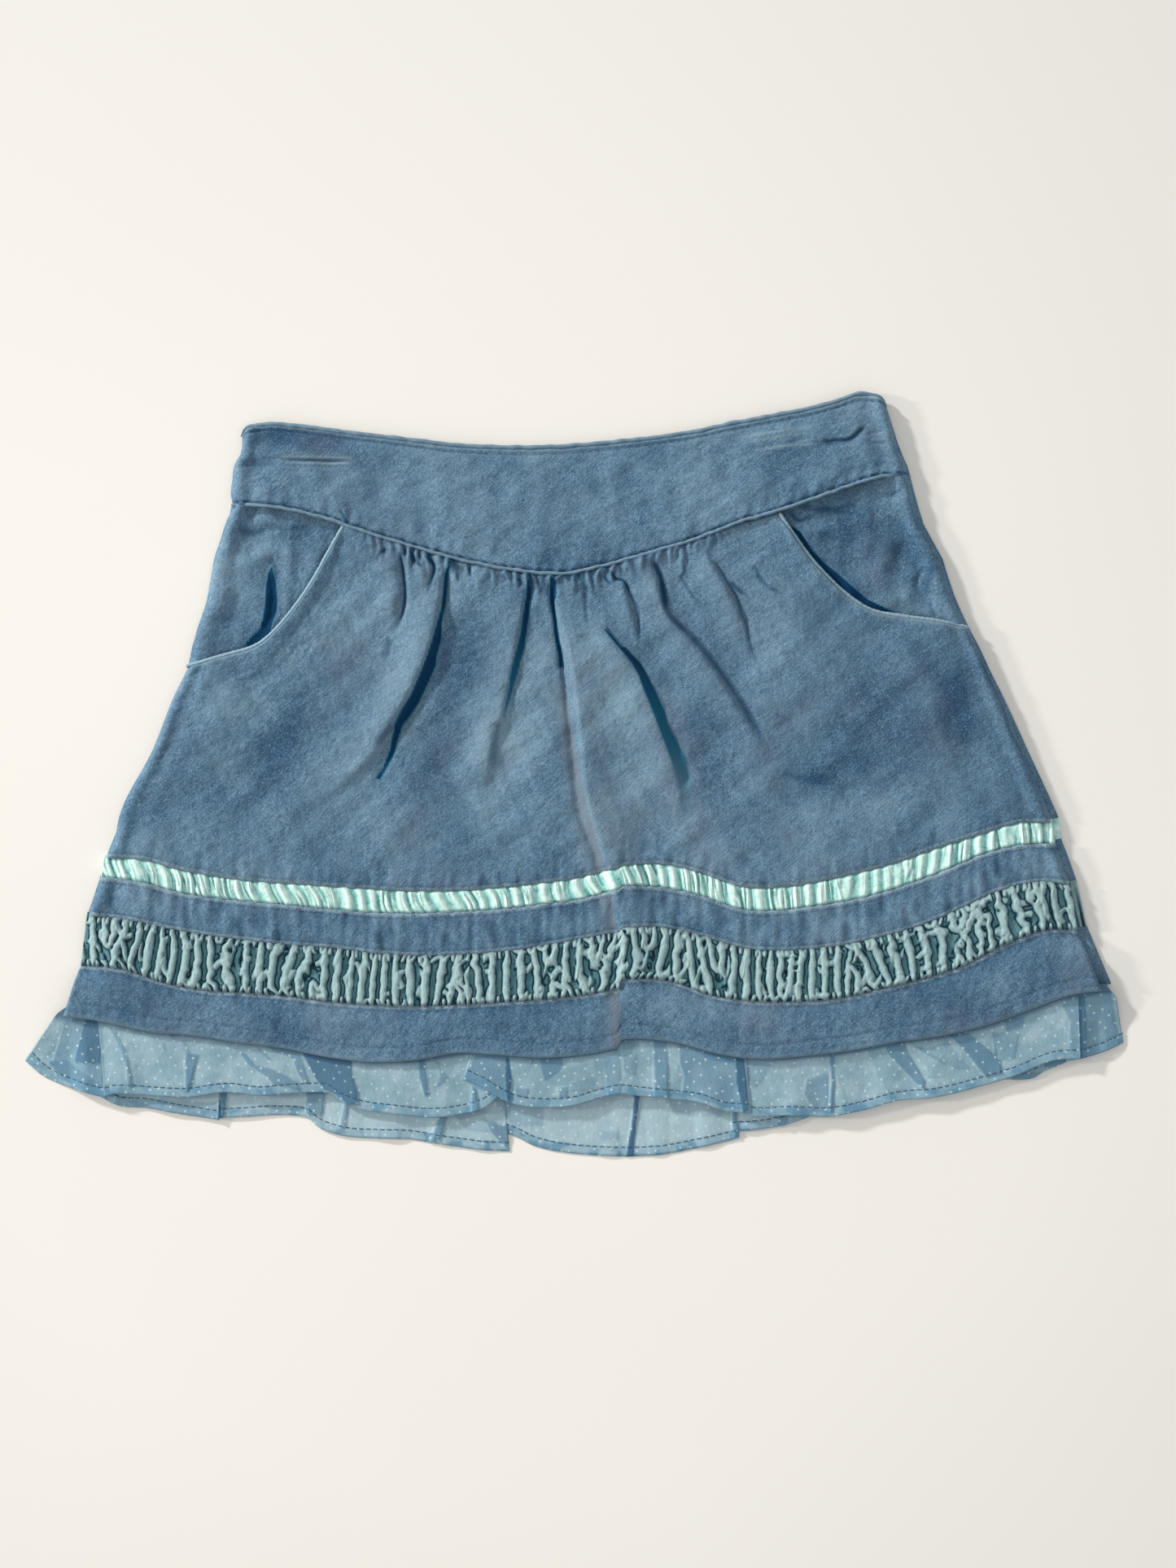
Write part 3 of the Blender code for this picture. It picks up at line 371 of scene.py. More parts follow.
# Flaps of the ruffles, folded over each other: the ends of each at the hem, the points of its lower
# edge, and how many layers lie under it
Flap = namedtuple("Flap", "start end foot level")
FRONT_FLAPS = (
    Flap(-194.2, -180.7, ((-210.8, -109.5), (-204.8, -114.8), (-198.6, -118), (-192.3, -120.2),
        (-186.1, -122), (-179.2, -123.6)), 0),
    Flap(-182.2, -33, ((-179.8, -123.3), (-173.6, -122), (-158, -123), (-147, -123.3), (-133, -121.4),
        (-120.5, -122.7), (-111.1, -122), (-98.6, -121.4), (-93, -122), (-88.6, -125.2), (-79.8, -128.3),
        (-70.5, -129.5), (-54.8, -131.1), (-42.3, -129.8), (-34.2, -127.3), (-29.2, -123)), 1),
    Flap(-37.7, 65.2, ((-42.3, -116.1), (-36.1, -118.9), (-29.8, -122.7), (-23.6, -125.8), (-14.2, -127.3),
        (-1.7, -126.7), (7.7, -124.2), (17, -122), (26.4, -123), (38.9, -124.2), (48.9, -125.5),
        (57.7, -128.6), (67.7, -129.2)), 2),
    Flap(62.3, 192.7, ((62.3, -128.6), (70.2, -130.8), (82.7, -130.2), (96.7, -130.8), (110.8, -128.3),
        (123.3, -124.8), (138.9, -123.3), (154.5, -119.5), (168.6, -115.2), (182.7, -109.5),
        (193.9, -108.6)), 1),
    Flap(188.9, 206.4, ((188.3, -109.8), (195.2, -108.3), (203, -106.1), (210.8, -102.7)), 0),
)
BACK_FLAPS = (
    Flap(-189.2, -135.8, ((-190.8, -118), (-175.8, -126.4), (-164.2, -127.7), (-150.2, -130.2),
        (-136.1, -132.3)), 1),
    Flap(-138, -100.2, ((-138, -131.7), (-126.7, -131.1), (-115.8, -130.5), (-104.2, -131.1),
        (-98, -134.2)), 0),
    Flap(-101.7, -29.8, ((-102.3, -131.1), (-98, -135.2), (-91.7, -137.7), (-83, -139.2), (-64.2, -139.8),
        (-51.7, -141.7), (-36.1, -143.9), (-24.8, -144.5)), 1),
    Flap(-31.4, 62.3, ((-32.3, -135.5), (-23, -138.6), (-14.2, -142.7), (-1.7, -145.2), (17, -146.4),
        (32.7, -145.8), (45.2, -143.6), (57.7, -140.8), (63.3, -139.2)), 0),
    Flap(59.5, 201.4, ((60.2, -136.7), (70.2, -136.1), (80.8, -134.2), (95.2, -129.8), (123.3, -122.7),
        (154.5, -117.3), (173.9, -116.7), (180.5, -113.6), (195.2, -107.3)), 1),
)

# Pleats and creases of the front ruffle, where the voile lies in two layers; the darkest are painted shade
FRONT_PLEATS = (
    Patch(0.55, ((-199.8, -108.6), (-194.2, -93.6), (-181.1, -93), (-180.2, -118), (-173.6, -124.8),
        (-183, -123), (-198.6, -115.5))),
    Patch(0.95, ((-187, -93.3), (-182, -93.6), (-181.1, -107), (-181.7, -110.5), (-190.8, -110.2),
        (-191.7, -109.2), (-188.6, -99.2))),
    Patch(0.8, ((-202.3, -109.8), (-196.1, -108.6), (-180.5, -118.6), (-173.6, -124.2), (-185.5, -122),
        (-194.2, -118))),
    Patch(0.5, ((-177.7, -96.4), (-174.8, -98.3), (-171.1, -106.1), (-169.5, -114.8), (-169.2, -119.5),
        (-170.5, -119.5), (-171.4, -111.7), (-173, -106.1), (-175.2, -101.4))),
    Patch(0.5, ((-157.7, -102), (-156.1, -102.3), (-156.1, -105.5), (-157.3, -105.2))),
    Patch(0.5, ((-155.2, -98.6), (-152.7, -98.9), (-153.6, -101.1))),
    Patch(0.8, ((-148.3, -106.1), (-143.3, -107), (-145.2, -112.3), (-146.4, -118), (-148.6, -121.7),
        (-148.9, -110.2))),
    Patch(0.35, ((-149.8, -101.7), (-148.9, -101.7), (-146.7, -106.1), (-148, -106.1))),
    Patch(0.65, ((-129.5, -105.2), (-126.1, -106.1), (-122, -110.8), (-116.7, -112), (-110.5, -114.8),
        (-105.8, -118), (-104.8, -121.1), (-109.5, -119.2), (-115.2, -118), (-118.3, -114.8),
        (-124.5, -110.8), (-126.7, -107.7))),
    Patch(0.5, ((-121.4, -103.9), (-118.3, -106.1), (-115.5, -108.9), (-117.3, -108.6), (-120.2, -105.8))),
    Patch(0.7, ((-116.7, -103.6), (-104.8, -105.2), (-104.5, -107), (-103.3, -110.8), (-101.4, -118),
        (-103.3, -118.3), (-106.1, -113.3), (-107.3, -108.6), (-110.5, -107), (-115.2, -105.5))),
    Patch(0.95, ((-104.2, -105.8), (-91.7, -107.3), (-84.8, -109.5), (-84.8, -114.2), (-83, -121.4),
        (-82.7, -126.1), (-86.7, -126.1), (-91.4, -122), (-96.1, -120.2), (-99.2, -115.8),
        (-102.3, -109.5))),
    Patch(0.9, ((-59.5, -108.9), (-56.7, -108.6), (-56.7, -112.7), (-55.8, -122), (-57.3, -123),
        (-59.2, -115.8))),
    Patch(0.5, ((-51.7, -111.1), (-48, -115.8), (-51.1, -118.9), (-53, -118.9), (-51.4, -115.2))),
    Patch(0.5, ((-53.6, -109.5), (-51.1, -109.5), (-51.7, -111.4))),
    Patch(0.85, ((-39.2, -118.9), (-37.7, -119.8), (-36.1, -129.2), (-39.2, -129.2))),
    Patch(0.6, ((-37.7, -107), (-26.1, -107.3), (-24.8, -126.1), (-31.1, -122.7), (-43, -116.7))),
    Patch(1, ((-26.1, -107.3), (-24.8, -107.7), (-23.9, -115.8), (-24.8, -125.2), (-26.1, -123.6),
        (-26.4, -114.2))),
    Patch(0.65, ((-16.7, -108.6), (-15.2, -108.9), (-16.1, -111.1), (-17.3, -109.8))),
    Patch(0.75, ((-13, -107.7), (-4.8, -107.7), (-4.2, -110.5), (-5.8, -113.6), (-11.4, -117),
        (-12.7, -112.7))),
    Patch(0.25, ((-11.4, -117), (-1.1, -111.4), (11.4, -108.3), (13, -119.8), (-1.7, -121.1))),
    Patch(0.45, ((-23, -119.8), (-17.3, -119.8), (-18, -123.3), (-22.3, -123.3))),
    Patch(0.6, ((-6.4, -119.2), (-2.7, -119.2), (-2.7, -123.3), (-5.8, -123))),
    Patch(0.45, ((10.8, -108), (17.7, -104.5), (17.7, -121.7), (13, -123))),
    Patch(0.35, ((18.3, -101.4), (24.8, -102), (23.3, -114.8), (18.6, -113.3))),
    Patch(0.7, ((30.5, -101.4), (35.5, -102), (36.1, -114.8), (35.8, -123.6), (30.5, -123), (30.5, -107))),
    Patch(0.6, ((40.2, -103), (48.3, -105.2), (60.8, -107.7), (64.5, -108.6), (64.5, -128), (57.7, -126.4),
        (48.3, -123.9), (41.1, -121.7), (42, -114.8), (40.2, -109.2))),
    Patch(0.9, ((48.3, -105.2), (54.5, -106.1), (64.5, -108.6), (63.9, -111.1), (53.9, -109.5),
        (49.5, -108))),
    Patch(1, ((61.4, -107.7), (65.2, -108.6), (66.7, -128), (64.5, -129.2), (62, -118))),
    Patch(0.4, ((65.8, -109.2), (75.5, -110.5), (72.3, -116.4), (68.6, -120.2), (67, -118),
        (65.5, -113.3))),
    Patch(0.5, ((88.9, -116.4), (93.6, -114.8), (97, -113.9), (97, -129.2), (91.1, -128), (87.7, -121.7))),
    Patch(0.9, ((97.7, -107), (99.5, -107), (99.5, -117), (98.9, -129.2), (97.3, -129.2), (98.3, -117))),
    Patch(0.8, ((118.9, -103.9), (126.1, -101.7), (128, -106.4), (134.2, -117.3), (133.9, -120.5),
        (130.2, -117.3), (123.9, -110.5), (120.8, -107.7))),
    Patch(0.6, ((128, -102.3), (134.2, -104.8), (140.5, -108.9), (142, -110.5), (138, -108.9),
        (131.1, -104.5))),
    Patch(0.3, ((134.2, -104.8), (142.7, -101.7), (151.4, -112.7), (145.2, -112.3))),
    Patch(0.85, ((142.7, -99.2), (150.5, -98.3), (154.5, -101.7), (159.2, -105.8), (163, -109.5),
        (163.6, -114.2), (157.7, -115.5), (154.5, -112), (151.4, -108), (145.2, -101.1))),
    Patch(0.65, ((164.2, -93.6), (172.3, -92.3), (171.7, -96.4), (165.5, -98.6))),
    Patch(0.4, ((161.1, -98.6), (170.2, -98), (168.6, -108.3), (162.3, -109.5))),
    Patch(0.6, ((159.8, -98), (160.8, -98), (161.7, -108.6), (160.8, -108.6))),
    Patch(0.5, ((189.2, -84.5), (192.7, -84.5), (193.9, -93.9), (193.3, -109.2), (189.2, -105.5),
        (189.5, -93.9), (186.4, -87.7))),
    Patch(0.55, ((193.3, -84.2), (205.5, -82.3), (207, -95.5), (211.4, -108.6), (193.9, -112.3))),
    Patch(0.95, ((192.7, -84.5), (195.5, -84.2), (196.4, -110.5), (193.6, -111.4))),
)

# The same of the back ruffle, where it shows below the front one, with painted shadow of the front one
BACK_PLEATS = (
    Patch(0.45, ((-176.7, -122.7), (-136.1, -125.8), (-136.7, -135.2), (-175.2, -128))),
    Patch(0.95, ((-135.5, -120.5), (-132.7, -120.5), (-134.8, -133.6), (-137, -133))),
    Patch(0.8, ((-102.7, -120.5), (-95.5, -121.7), (-96.7, -131.1), (-103, -129.8))),
    Patch(0.5, ((-101.7, -122), (-98, -122), (-98.6, -129.8), (-101.7, -129.2))),
    Patch(0.6, ((-88, -124.2), (-86.1, -124.2), (-88, -136.7), (-90.2, -136.1))),
    Patch(0.9, ((-51.7, -129.2), (-47.7, -129.2), (-51.4, -139.8), (-55.5, -141.4), (-53, -133.9))),
    Patch(0.35, ((-47.7, -129.2), (-32.3, -128), (-34.2, -132.3), (-31.1, -137.3), (-40.8, -136.7))),
    Patch(0.8, ((-34.2, -132.3), (-23, -135.5), (-26.1, -143), (-31.7, -137.3))),
    Patch(0.4, ((-31.7, -124.2), (-11.7, -125.5), (-11.7, -134.8), (-23.6, -134.8))),
    Patch(1, ((23, -122.7), (25.2, -122.7), (23.6, -135.2), (23, -146.7), (19.8, -146.7), (22, -133.6))),
    Patch(0.9, ((60.5, -128), (62.3, -129.2), (63, -136.7), (61.4, -139.2), (60.5, -133.6))),
    Patch(0.8, ((78, -129.2), (82.3, -129.2), (81.1, -134.8), (78, -134.2))),
    Patch(0.35, ((32.7, -122.7), (60.8, -126.7), (60.2, -131.1), (38.9, -130.5))),
    Patch(0.7, ((165.5, -114.2), (180.5, -114.2), (181.7, -121.1), (173.9, -122.7))),
    Patch(0.9, ((180.5, -105.5), (205.2, -105.5), (205.2, -111.1), (180.5, -112.3))),
    Patch(0.35, ((9.2, -137.3), (17, -136.1), (17, -140.5), (10.2, -140.5))),
)

# How far the side edges stand out to the left or the right of straight lines between the seams'
# ends, at heights from the hem up
SIDE_HEIGHTS = (-150, -42, -36, -26, -15, 10, 31, 41, 49, 57, 66, 75, 84, 90, 97, 103, 107, 113, 119, 123,
    130, 150)
LEFT_BULGES = (0, 0, -0.4, 0.9, -1.4, 0.3, -0.5, 0, -0.5, -0.4, 0.2, -0.6, -1.3, -0.9, -0.6, 0.4, -1, -1.3,
    -1.2, 0.5, 0.3, 0)
RIGHT_BULGES = (0, 0, 0.2, -0.3, 0.4, 0.8, 1.2, 0.9, 1.1, 0.6, -0.2, 0.1, 0.7, -0.4, -1.4, -0.8, -0.3, 0.3,
    1.1, 0.2, 0.1, 0)


def smooth_step(value):
    """0 below 0, 1 above 1 and an eased rise between."""
    share = np.clip(value, 0.0, 1.0)
    return share * share * (3.0 - 2.0 * share)


def smooth_curve(places, table_places, table_values):
    """A smooth curve through a table: cubic pieces whose slopes come from the two neighbours."""
    table_places = np.asarray(table_places, dtype=float)
    table_values = np.asarray(table_values, dtype=float)
    slopes = np.gradient(table_values, table_places)
    piece = np.clip(np.searchsorted(table_places, places, side="right") - 1, 0, len(table_places) - 2)
    width = table_places[piece + 1] - table_places[piece]
    t = (places - table_places[piece]) / width
    start, end = table_values[piece], table_values[piece + 1]
    return ((2 * t ** 3 - 3 * t ** 2 + 1) * start + (t ** 3 - 2 * t ** 2 + t) * width * slopes[piece]
            + (3 * t ** 2 - 2 * t ** 3) * end + (t ** 3 - t ** 2) * width * slopes[piece + 1])


def smooth_path(points, count):
    """Points at equal steps of length along a smooth curve through the given ones."""
    points = np.asarray(points, dtype=float)
    steps = np.arange(len(points), dtype=float)
    fine = np.linspace(0.0, len(points) - 1.0, 12 * len(points))
    curve = np.stack([smooth_curve(fine, steps, points[:, axis]) for axis in range(points.shape[1])], axis=1)
    reached = np.concatenate([[0.0], np.cumsum(np.linalg.norm(np.diff(curve, axis=0), axis=1))])
    even = np.linspace(0.0, reached[-1], count)
    return np.stack([np.interp(even, reached, curve[:, axis]) for axis in range(points.shape[1])], axis=1)


def front_line(name, u):
    """A seam line of the front: x and y at the shares u of the way from left to right."""
    line = LINES[name]
    x = line.left + (line.right - line.left) * u
    share = (x - line.left) / (line.right + line.strip - line.left)
    y = smooth_curve(share, np.arange(LINE_STEPS + 1) / LINE_STEPS, line.heights)
    if name == "waist":
        y = y - rounded(np.minimum(x - line.left, line.right - x), WAIST_CORNER)
    return x, y + line.lap * smooth_step((x - LAP_PLACE) / LAP_WIDTH + 0.5)


def follow_sides(x, y, u, width):
    """x with both side edges moved out or in as the bulge tables tell, fading inwards."""
    height = np.clip(y, -SIDE_REACH, SIDE_REACH)
    left = smooth_curve(height, SIDE_HEIGHTS, LEFT_BULGES)
    right = smooth_curve(height, SIDE_HEIGHTS, RIGHT_BULGES)
    at_left = 1.0 - smooth_step(u * width / SIDE_FADE)
    at_right = 1.0 - smooth_step((1.0 - u) * width / SIDE_FADE)
    return x + left * at_left + right * at_right


def back_line(name, u):
    """A seam line of the back: a plain arc between the line's ends, just above the front's line."""
    line = LINES[name]
    left = line.left + BACK_INSET
    x = left + (line.right + line.strip - left) * u
    ends = line.heights[0], line.heights[-1] + line.lap
    return x, ends[0] + (ends[1] - ends[0]) * u - 4.0 * line.sag * u * (1.0 - u) + BACK_RISE


def height_above(name, x):
    """The height of a front seam line above the place x."""
    line = LINES[name]
    return front_line(name, np.clip((x - line.left) / (line.right - line.left), 0.0, 1.0))[1]


def path_distance(x, y, path):
    """The share of a path's length nearest to each point, and the signed distance, left below 0."""
    best = np.full(np.shape(x), np.inf)
    share = np.zeros(np.shape(x))
    signed = np.zeros(np.shape(x))
    lengths = np.hypot(*np.diff(path, axis=0).T)
    reached = np.concatenate([[0.0], np.cumsum(lengths)])
    for index, length in enumerate(lengths):
        start = path[index]
        along = (path[index + 1] - start) / length
        t = np.clip((x - start[0]) * along[0] + (y - start[1]) * along[1], 0.0, length)
        away_x = x - start[0] - t * along[0]
        away_y = y - start[1] - t * along[1]
        distance = np.hypot(away_x, away_y)
        nearer = distance < best
        side = np.where(along[0] * away_y - along[1] * away_x > 0.0, 1.0, -1.0)
        best = np.where(nearer, distance, best)
        share = np.where(nearer, (reached[index] + t) / reached[-1], share)
        signed = np.where(nearer, side * distance, signed)
    return share, signed


def stroke_sum(x, y, strokes, swell_in=0.2, fade_out=0.45, power=2.0):
    """The sum of strokes: each a bell across its line that swells and fades along it. A power above
    2 gives the bell a flat top and crisp sides."""
    total = np.zeros(np.shape(x))
    for stroke in strokes:
        path = smooth_path(stroke.line, 24)
        reach = 3.0 * max(stroke.left, stroke.right)
        low, high = path.min(axis=0) - reach, path.max(axis=0) + reach
        near = (x > low[0]) & (x < high[0]) & (y > low[1]) & (y < high[1])
        if not near.any():
            continue
        share, side = path_distance(x[near], y[near], path)
        spread = np.where(side > 0.0, stroke.right, stroke.left)
        swell = smooth_step(share / swell_in) * smooth_step((1.0 - share) / fade_out)
        total[near] += stroke.amount * swell * np.exp(-np.abs(side / spread) ** power)
    return total


def patch_shade(x, y, patches, soft=0.6):
    """Shade in patches with straight sides: 0 outside and inside a darkness that changes evenly from
    the patch's top to its foot, eased over soft millimetres along the outline; the darkest counts
    where patches lie over each other."""
    total = np.zeros(np.shape(x))
    for patch in patches:
        corners = np.asarray(patch.corners, dtype=float)
        low, high = corners.min(axis=0) - soft, corners.max(axis=0) + soft
        near = (x > low[0]) & (x < high[0]) & (y > low[1]) & (y < high[1])
        place_x, place_y = x[near], y[near]
        inside = np.zeros(place_x.shape, dtype=bool)
        distance = np.full(place_x.shape, np.inf)
        for start, end in zip(corners, np.roll(corners, -1, axis=0)):
            step = end - start
            reached = (place_y - start[1]) / (step[1] if step[1] else 1e-9)
            inside ^= ((start[1] > place_y) != (end[1] > place_y)) & (place_x < start[0] + reached * step[0])
            t = ((place_x - start[0]) * step[0] + (place_y - start[1]) * step[1]) / (step @ step)
            t = np.clip(t, 0.0, 1.0)
            away = np.hypot(place_x - start[0] - t * step[0], place_y - start[1] - t * step[1])
            distance = np.minimum(distance, away)
        signed = np.where(inside, distance, -distance)
        from_foot = (place_y - corners[:, 1].min()) / np.ptp(corners[:, 1])
        low_dark = patch.dark if patch.low is None else patch.low
        dark = low_dark + (patch.dark - low_dark) * from_foot
        total[near] = np.maximum(total[near], dark * smooth_step(signed / soft + 0.5))
    return total


def soft_waves(x, y, seed, length, count=14):
    """An even, irregular swell between about -1 and 1: the sum of plane waves in all directions
    whose lengths lie round the given one."""
    draw = np.random.default_rng(seed)
    total = np.zeros(np.broadcast(x, y).shape)
    for turn, phase, stretch in draw.uniform((0.0, 0.0, 0.6), (np.pi, 2 * np.pi, 1.6), (count, 3)):
        wave = 2.0 * np.pi / (length * stretch)
        total += np.sin((x * np.cos(turn) + y * np.sin(turn)) * wave + phase)
    return total / np.sqrt(count)


def line_width(name):
    """How wide the front is at a seam line."""
    return LINES[name].right - LINES[name].left


def from_sides(u, width):
    """How far the shares u of a piece of that width lie from its nearer side edge."""
    return np.minimum(u, 1.0 - u) * width


def side_ease(u, width):
    """0 at either side edge of a piece of that width and 1 from SIDE_ROLL inwards."""
    return smooth_step(from_sides(u, width) / SIDE_ROLL)


def layer_height(name, ease):
    """The underside of the front at a seam line, lowered onto the back where ease is below 1."""
    return LAYERS[name].side + (LAYERS[name].inside - LAYERS[name].side) * ease


def front_underside(upper, lower, u, v, width):
    """The underside of a front piece between two seam lines, lowered onto the back at the sides."""
    blend = smooth_step(v / HEM_RISE_SHARE) if lower == "hem" else np.clip(v, 0.0, 1.0)
    side = LAYERS[upper].side + (LAYERS[lower].side - LAYERS[upper].side) * blend
    inside = LAYERS[upper].inside + (LAYERS[lower].inside - LAYERS[upper].inside) * blend
    return side + (inside - side) * side_ease(u, width)


def rounded(distance, radius):
    """How far a cloth's face drops towards its edge: a quarter circle of the given radius."""
    inside = np.clip(1.0 - distance / radius, 0.0, 1.0)
    return radius * (1.0 - np.sqrt(1.0 - inside ** 2))


def side_roll(distance):
    """The rounded roll along a side seam: a low swell just inside it and a quarter circle down to it."""
    return 1.5 * np.exp(-((distance - 3.4) / 3.0) ** 2) - rounded(distance, CUFF_ROUND)


def hang(top, under):
    """The underside of a wall that follows its face where that is rolled, and never meets the back."""
    thin, thick = top - 0.5 * VELOUR, top - 1.3 * VELOUR
    return np.maximum(np.minimum(thin, np.maximum(under, thick)), LOWEST_UNDER)


def mesh_object(name, points, polygons, marks, finish):
    """An object from points, arrays of faces with one number of corners each, and marks on points."""
    mesh = bpy.data.meshes.new(name)
    mesh.vertices.add(len(points))
    mesh.vertices.foreach_set("co", (np.asarray(points) * MM).astype(np.float32).ravel())
    corners = np.concatenate([block.ravel() for block in polygons]).astype(np.int32)
    sizes = np.concatenate([np.full(len(block), block.shape[1]) for block in polygons]).astype(np.int32)
    starts = np.concatenate([[0], np.cumsum(sizes)[:-1]]).astype(np.int32)
    mesh.loops.add(len(corners))
    mesh.loops.foreach_set("vertex_index", corners)
    mesh.polygons.add(len(sizes))
    mesh.polygons.foreach_set("loop_start", starts)
    mesh.polygons.foreach_set("loop_total", sizes)
    mesh.update(calc_edges=True)
    mesh.validate()
    mesh.shade_smooth()
    for mark, values in marks.items():
        layer = mesh.attributes.new(mark, "FLOAT", "POINT")
        layer.data.foreach_set("value", np.asarray(values, dtype=np.float32).ravel())
    mesh.materials.append(finish)
    item = bpy.data.objects.new(name, mesh)
    bpy.context.collection.objects.link(item)
    return item


def wall_grid(x, y, outer, inner, every):
    """Points and faces of a closed wall of cloth: the outer face is a full grid, the inner one keeps
    each row that is a multiple of every, and four rims join them. rows - 1 is a multiple of every."""
    rows, columns = x.shape
    kept = np.arange(0, rows, every)
    points = np.concatenate([np.stack([x, y, outer], axis=2).reshape(-1, 3),
                             np.stack([x[kept], y[kept], inner[kept]], axis=2).reshape(-1, 3)])
    up = np.arange(rows * columns).reshape(rows, columns)
    down = rows * columns + np.arange(len(kept) * columns).reshape(len(kept), columns)

    def quads(a, b, c, d):
        """One face of four corners for each place of four equal grids."""
        return np.stack([part.ravel() for part in (a, b, c, d)], axis=1)

    polygons = [
        quads(up[:-1, :-1], up[1:, :-1], up[1:, 1:], up[:-1, 1:]),
        quads(down[:-1, :-1], down[:-1, 1:], down[1:, 1:], down[1:, :-1]),
        quads(up[0, :-1], up[0, 1:], down[0, 1:], down[0, :-1]),
        quads(up[-1, 1:], up[-1, :-1], down[-1, :-1], down[-1, 1:]),
    ]
    runs = kept[:-1, None] + np.arange(every + 1)[None, :]
    polygons.append(np.concatenate([up[runs[:, ::-1], 0], down[:-1, :1], down[1:, :1]], axis=1))
    polygons.append(np.concatenate([up[runs, -1], down[1:, -1:], down[:-1, -1:]], axis=1))
    if np.mean(outer) < np.mean(inner):
        polygons = [block[:, ::-1] for block in polygons]
    return points, polygons, kept


def cloth(name, x, y, outer, inner, marks, finish, every=8):
    """One wall of cloth as an object, with its marks on the outer face and on the inner one."""
    x, y, outer, inner = np.broadcast_arrays(x, y, outer, inner)
    points, polygons, kept = wall_grid(x, y, outer, inner, every)
    spread = {}
    for mark, values in marks.items():
        values = np.broadcast_to(values, x.shape)
        spread[mark] = np.concatenate([values.ravel(), values[kept].ravel()])
    return mesh_object(name, points, polygons, spread, finish)


def lines_between(upper, lower, v):
    """Grid rows at the shares v of the way from an upper line to a lower one."""
    v = np.asarray(v, dtype=float)[:, None]
    return upper[0] + (lower[0] - upper[0]) * v, upper[1] + (lower[1] - upper[1]) * v, v


def tube(name, path, radius, pale_and_highlight=0.0):
    """A round cord along a path: rings square to the path, with a point at either end."""
    sides = CORD_SIDES
    path = np.asarray(path, dtype=float)
    radius = np.broadcast_to(radius, (len(path),))
    along = np.gradient(path, axis=0)
    along /= np.linalg.norm(along, axis=1)[:, None]
    side = np.cross(along, (0.0, 0.0, 1.0))
    side /= np.linalg.norm(side, axis=1)[:, None]
    over = np.cross(side, along)
    turn = np.linspace(0.0, 2.0 * np.pi, sides, endpoint=False)
    rings = (path[:, None, :] + radius[:, None, None] * (np.cos(turn)[None, :, None] * side[:, None, :]
             + np.sin(turn)[None, :, None] * over[:, None, :]))
    points = np.concatenate([rings.reshape(-1, 3), path[:1] - along[:1] * radius[0] * 0.6,
                             path[-1:] + along[-1:] * radius[-1] * 0.6])
    ring = np.arange(len(path) * sides).reshape(len(path), sides)
    after = np.roll(ring, -1, axis=1)
    body = np.stack([ring[:-1], after[:-1], after[1:], ring[1:]], axis=2).reshape(-1, 4)
    first, last = len(points) - 2, len(points) - 1
    start_cap = np.stack([after[0], ring[0], np.full(sides, first)], axis=1)
    end_cap = np.stack([ring[-1], after[-1], np.full(sides, last)], axis=1)
    # Painted highlight along the top of the cord
    crown_highlight = np.concatenate([np.tile(0.5 + 0.5 * np.sin(turn), len(path)), [0.5, 0.5]])
    marks = {"crest_shading": crown_highlight, "pale_and_highlight": np.full(len(points), pale_and_highlight)}
    return mesh_object(name, points, [body, start_cap, end_cap], marks, PIPING_FINISH)


def grain(rows, columns, step_x, step_y, seed, pitch, bend, narrow=0.28, rounds=4, push=2.2):
    """Folds like those of ruched cloth, between -1 and 1: seeded random numbers whose waves are kept
    only where they are about pitch millimetres apart across and bend as much as bend tells, then
    squashed and filtered again a few times, which joins them to ridges that fork and run together."""
    tall = 2 * rows
    across = np.abs(np.fft.fftfreq(columns, step_x))[None, :] * pitch
    along = np.fft.fftfreq(tall, step_y)[:, None] * pitch
    keep = np.exp(-((np.hypot(across, along) - 1.0) / narrow) ** 2 - (along / bend) ** 2)
    values = np.random.default_rng(seed).normal(0.0, 1.0, (tall, columns))
    for _ in range(rounds):
        values = np.fft.ifft2(np.fft.fft2(values) * keep).real
        values = np.tanh(push * values / values.std())
    values = np.fft.ifft2(np.fft.fft2(values) * keep).real
    return np.clip(values[:rows] / (1.6 * values.std()), -1.0, 1.0)


def slanted(values, shift):
    """A grid whose rows are moved along by shift columns, read between them."""
    rows, columns = values.shape
    at = (np.arange(columns)[None, :] + shift) % (columns - 1)
    low = at.astype(int)
    part = at - low
    row = np.arange(rows)[:, None]
    return values[row, low] * (1.0 - part) + values[row, low + 1] * part


def line_distance(field, step_x, step_y):
    """How far, in millimetres, each grid point lies from the nearest zero line of a field: the size of
    its value over its slope there."""
    down, across = np.gradient(field, step_y, step_x)
    return np.abs(field) / np.sqrt(down ** 2 + across ** 2 + 0.0004 + 0.0144 * field ** 2)


def plump(distance):
    """The cross-section of a plump ridge: 1 on its middle line and 0 from a distance of 1 outwards."""
    return np.clip(1.0 - distance ** 2, 0.0, 1.0) ** 0.75


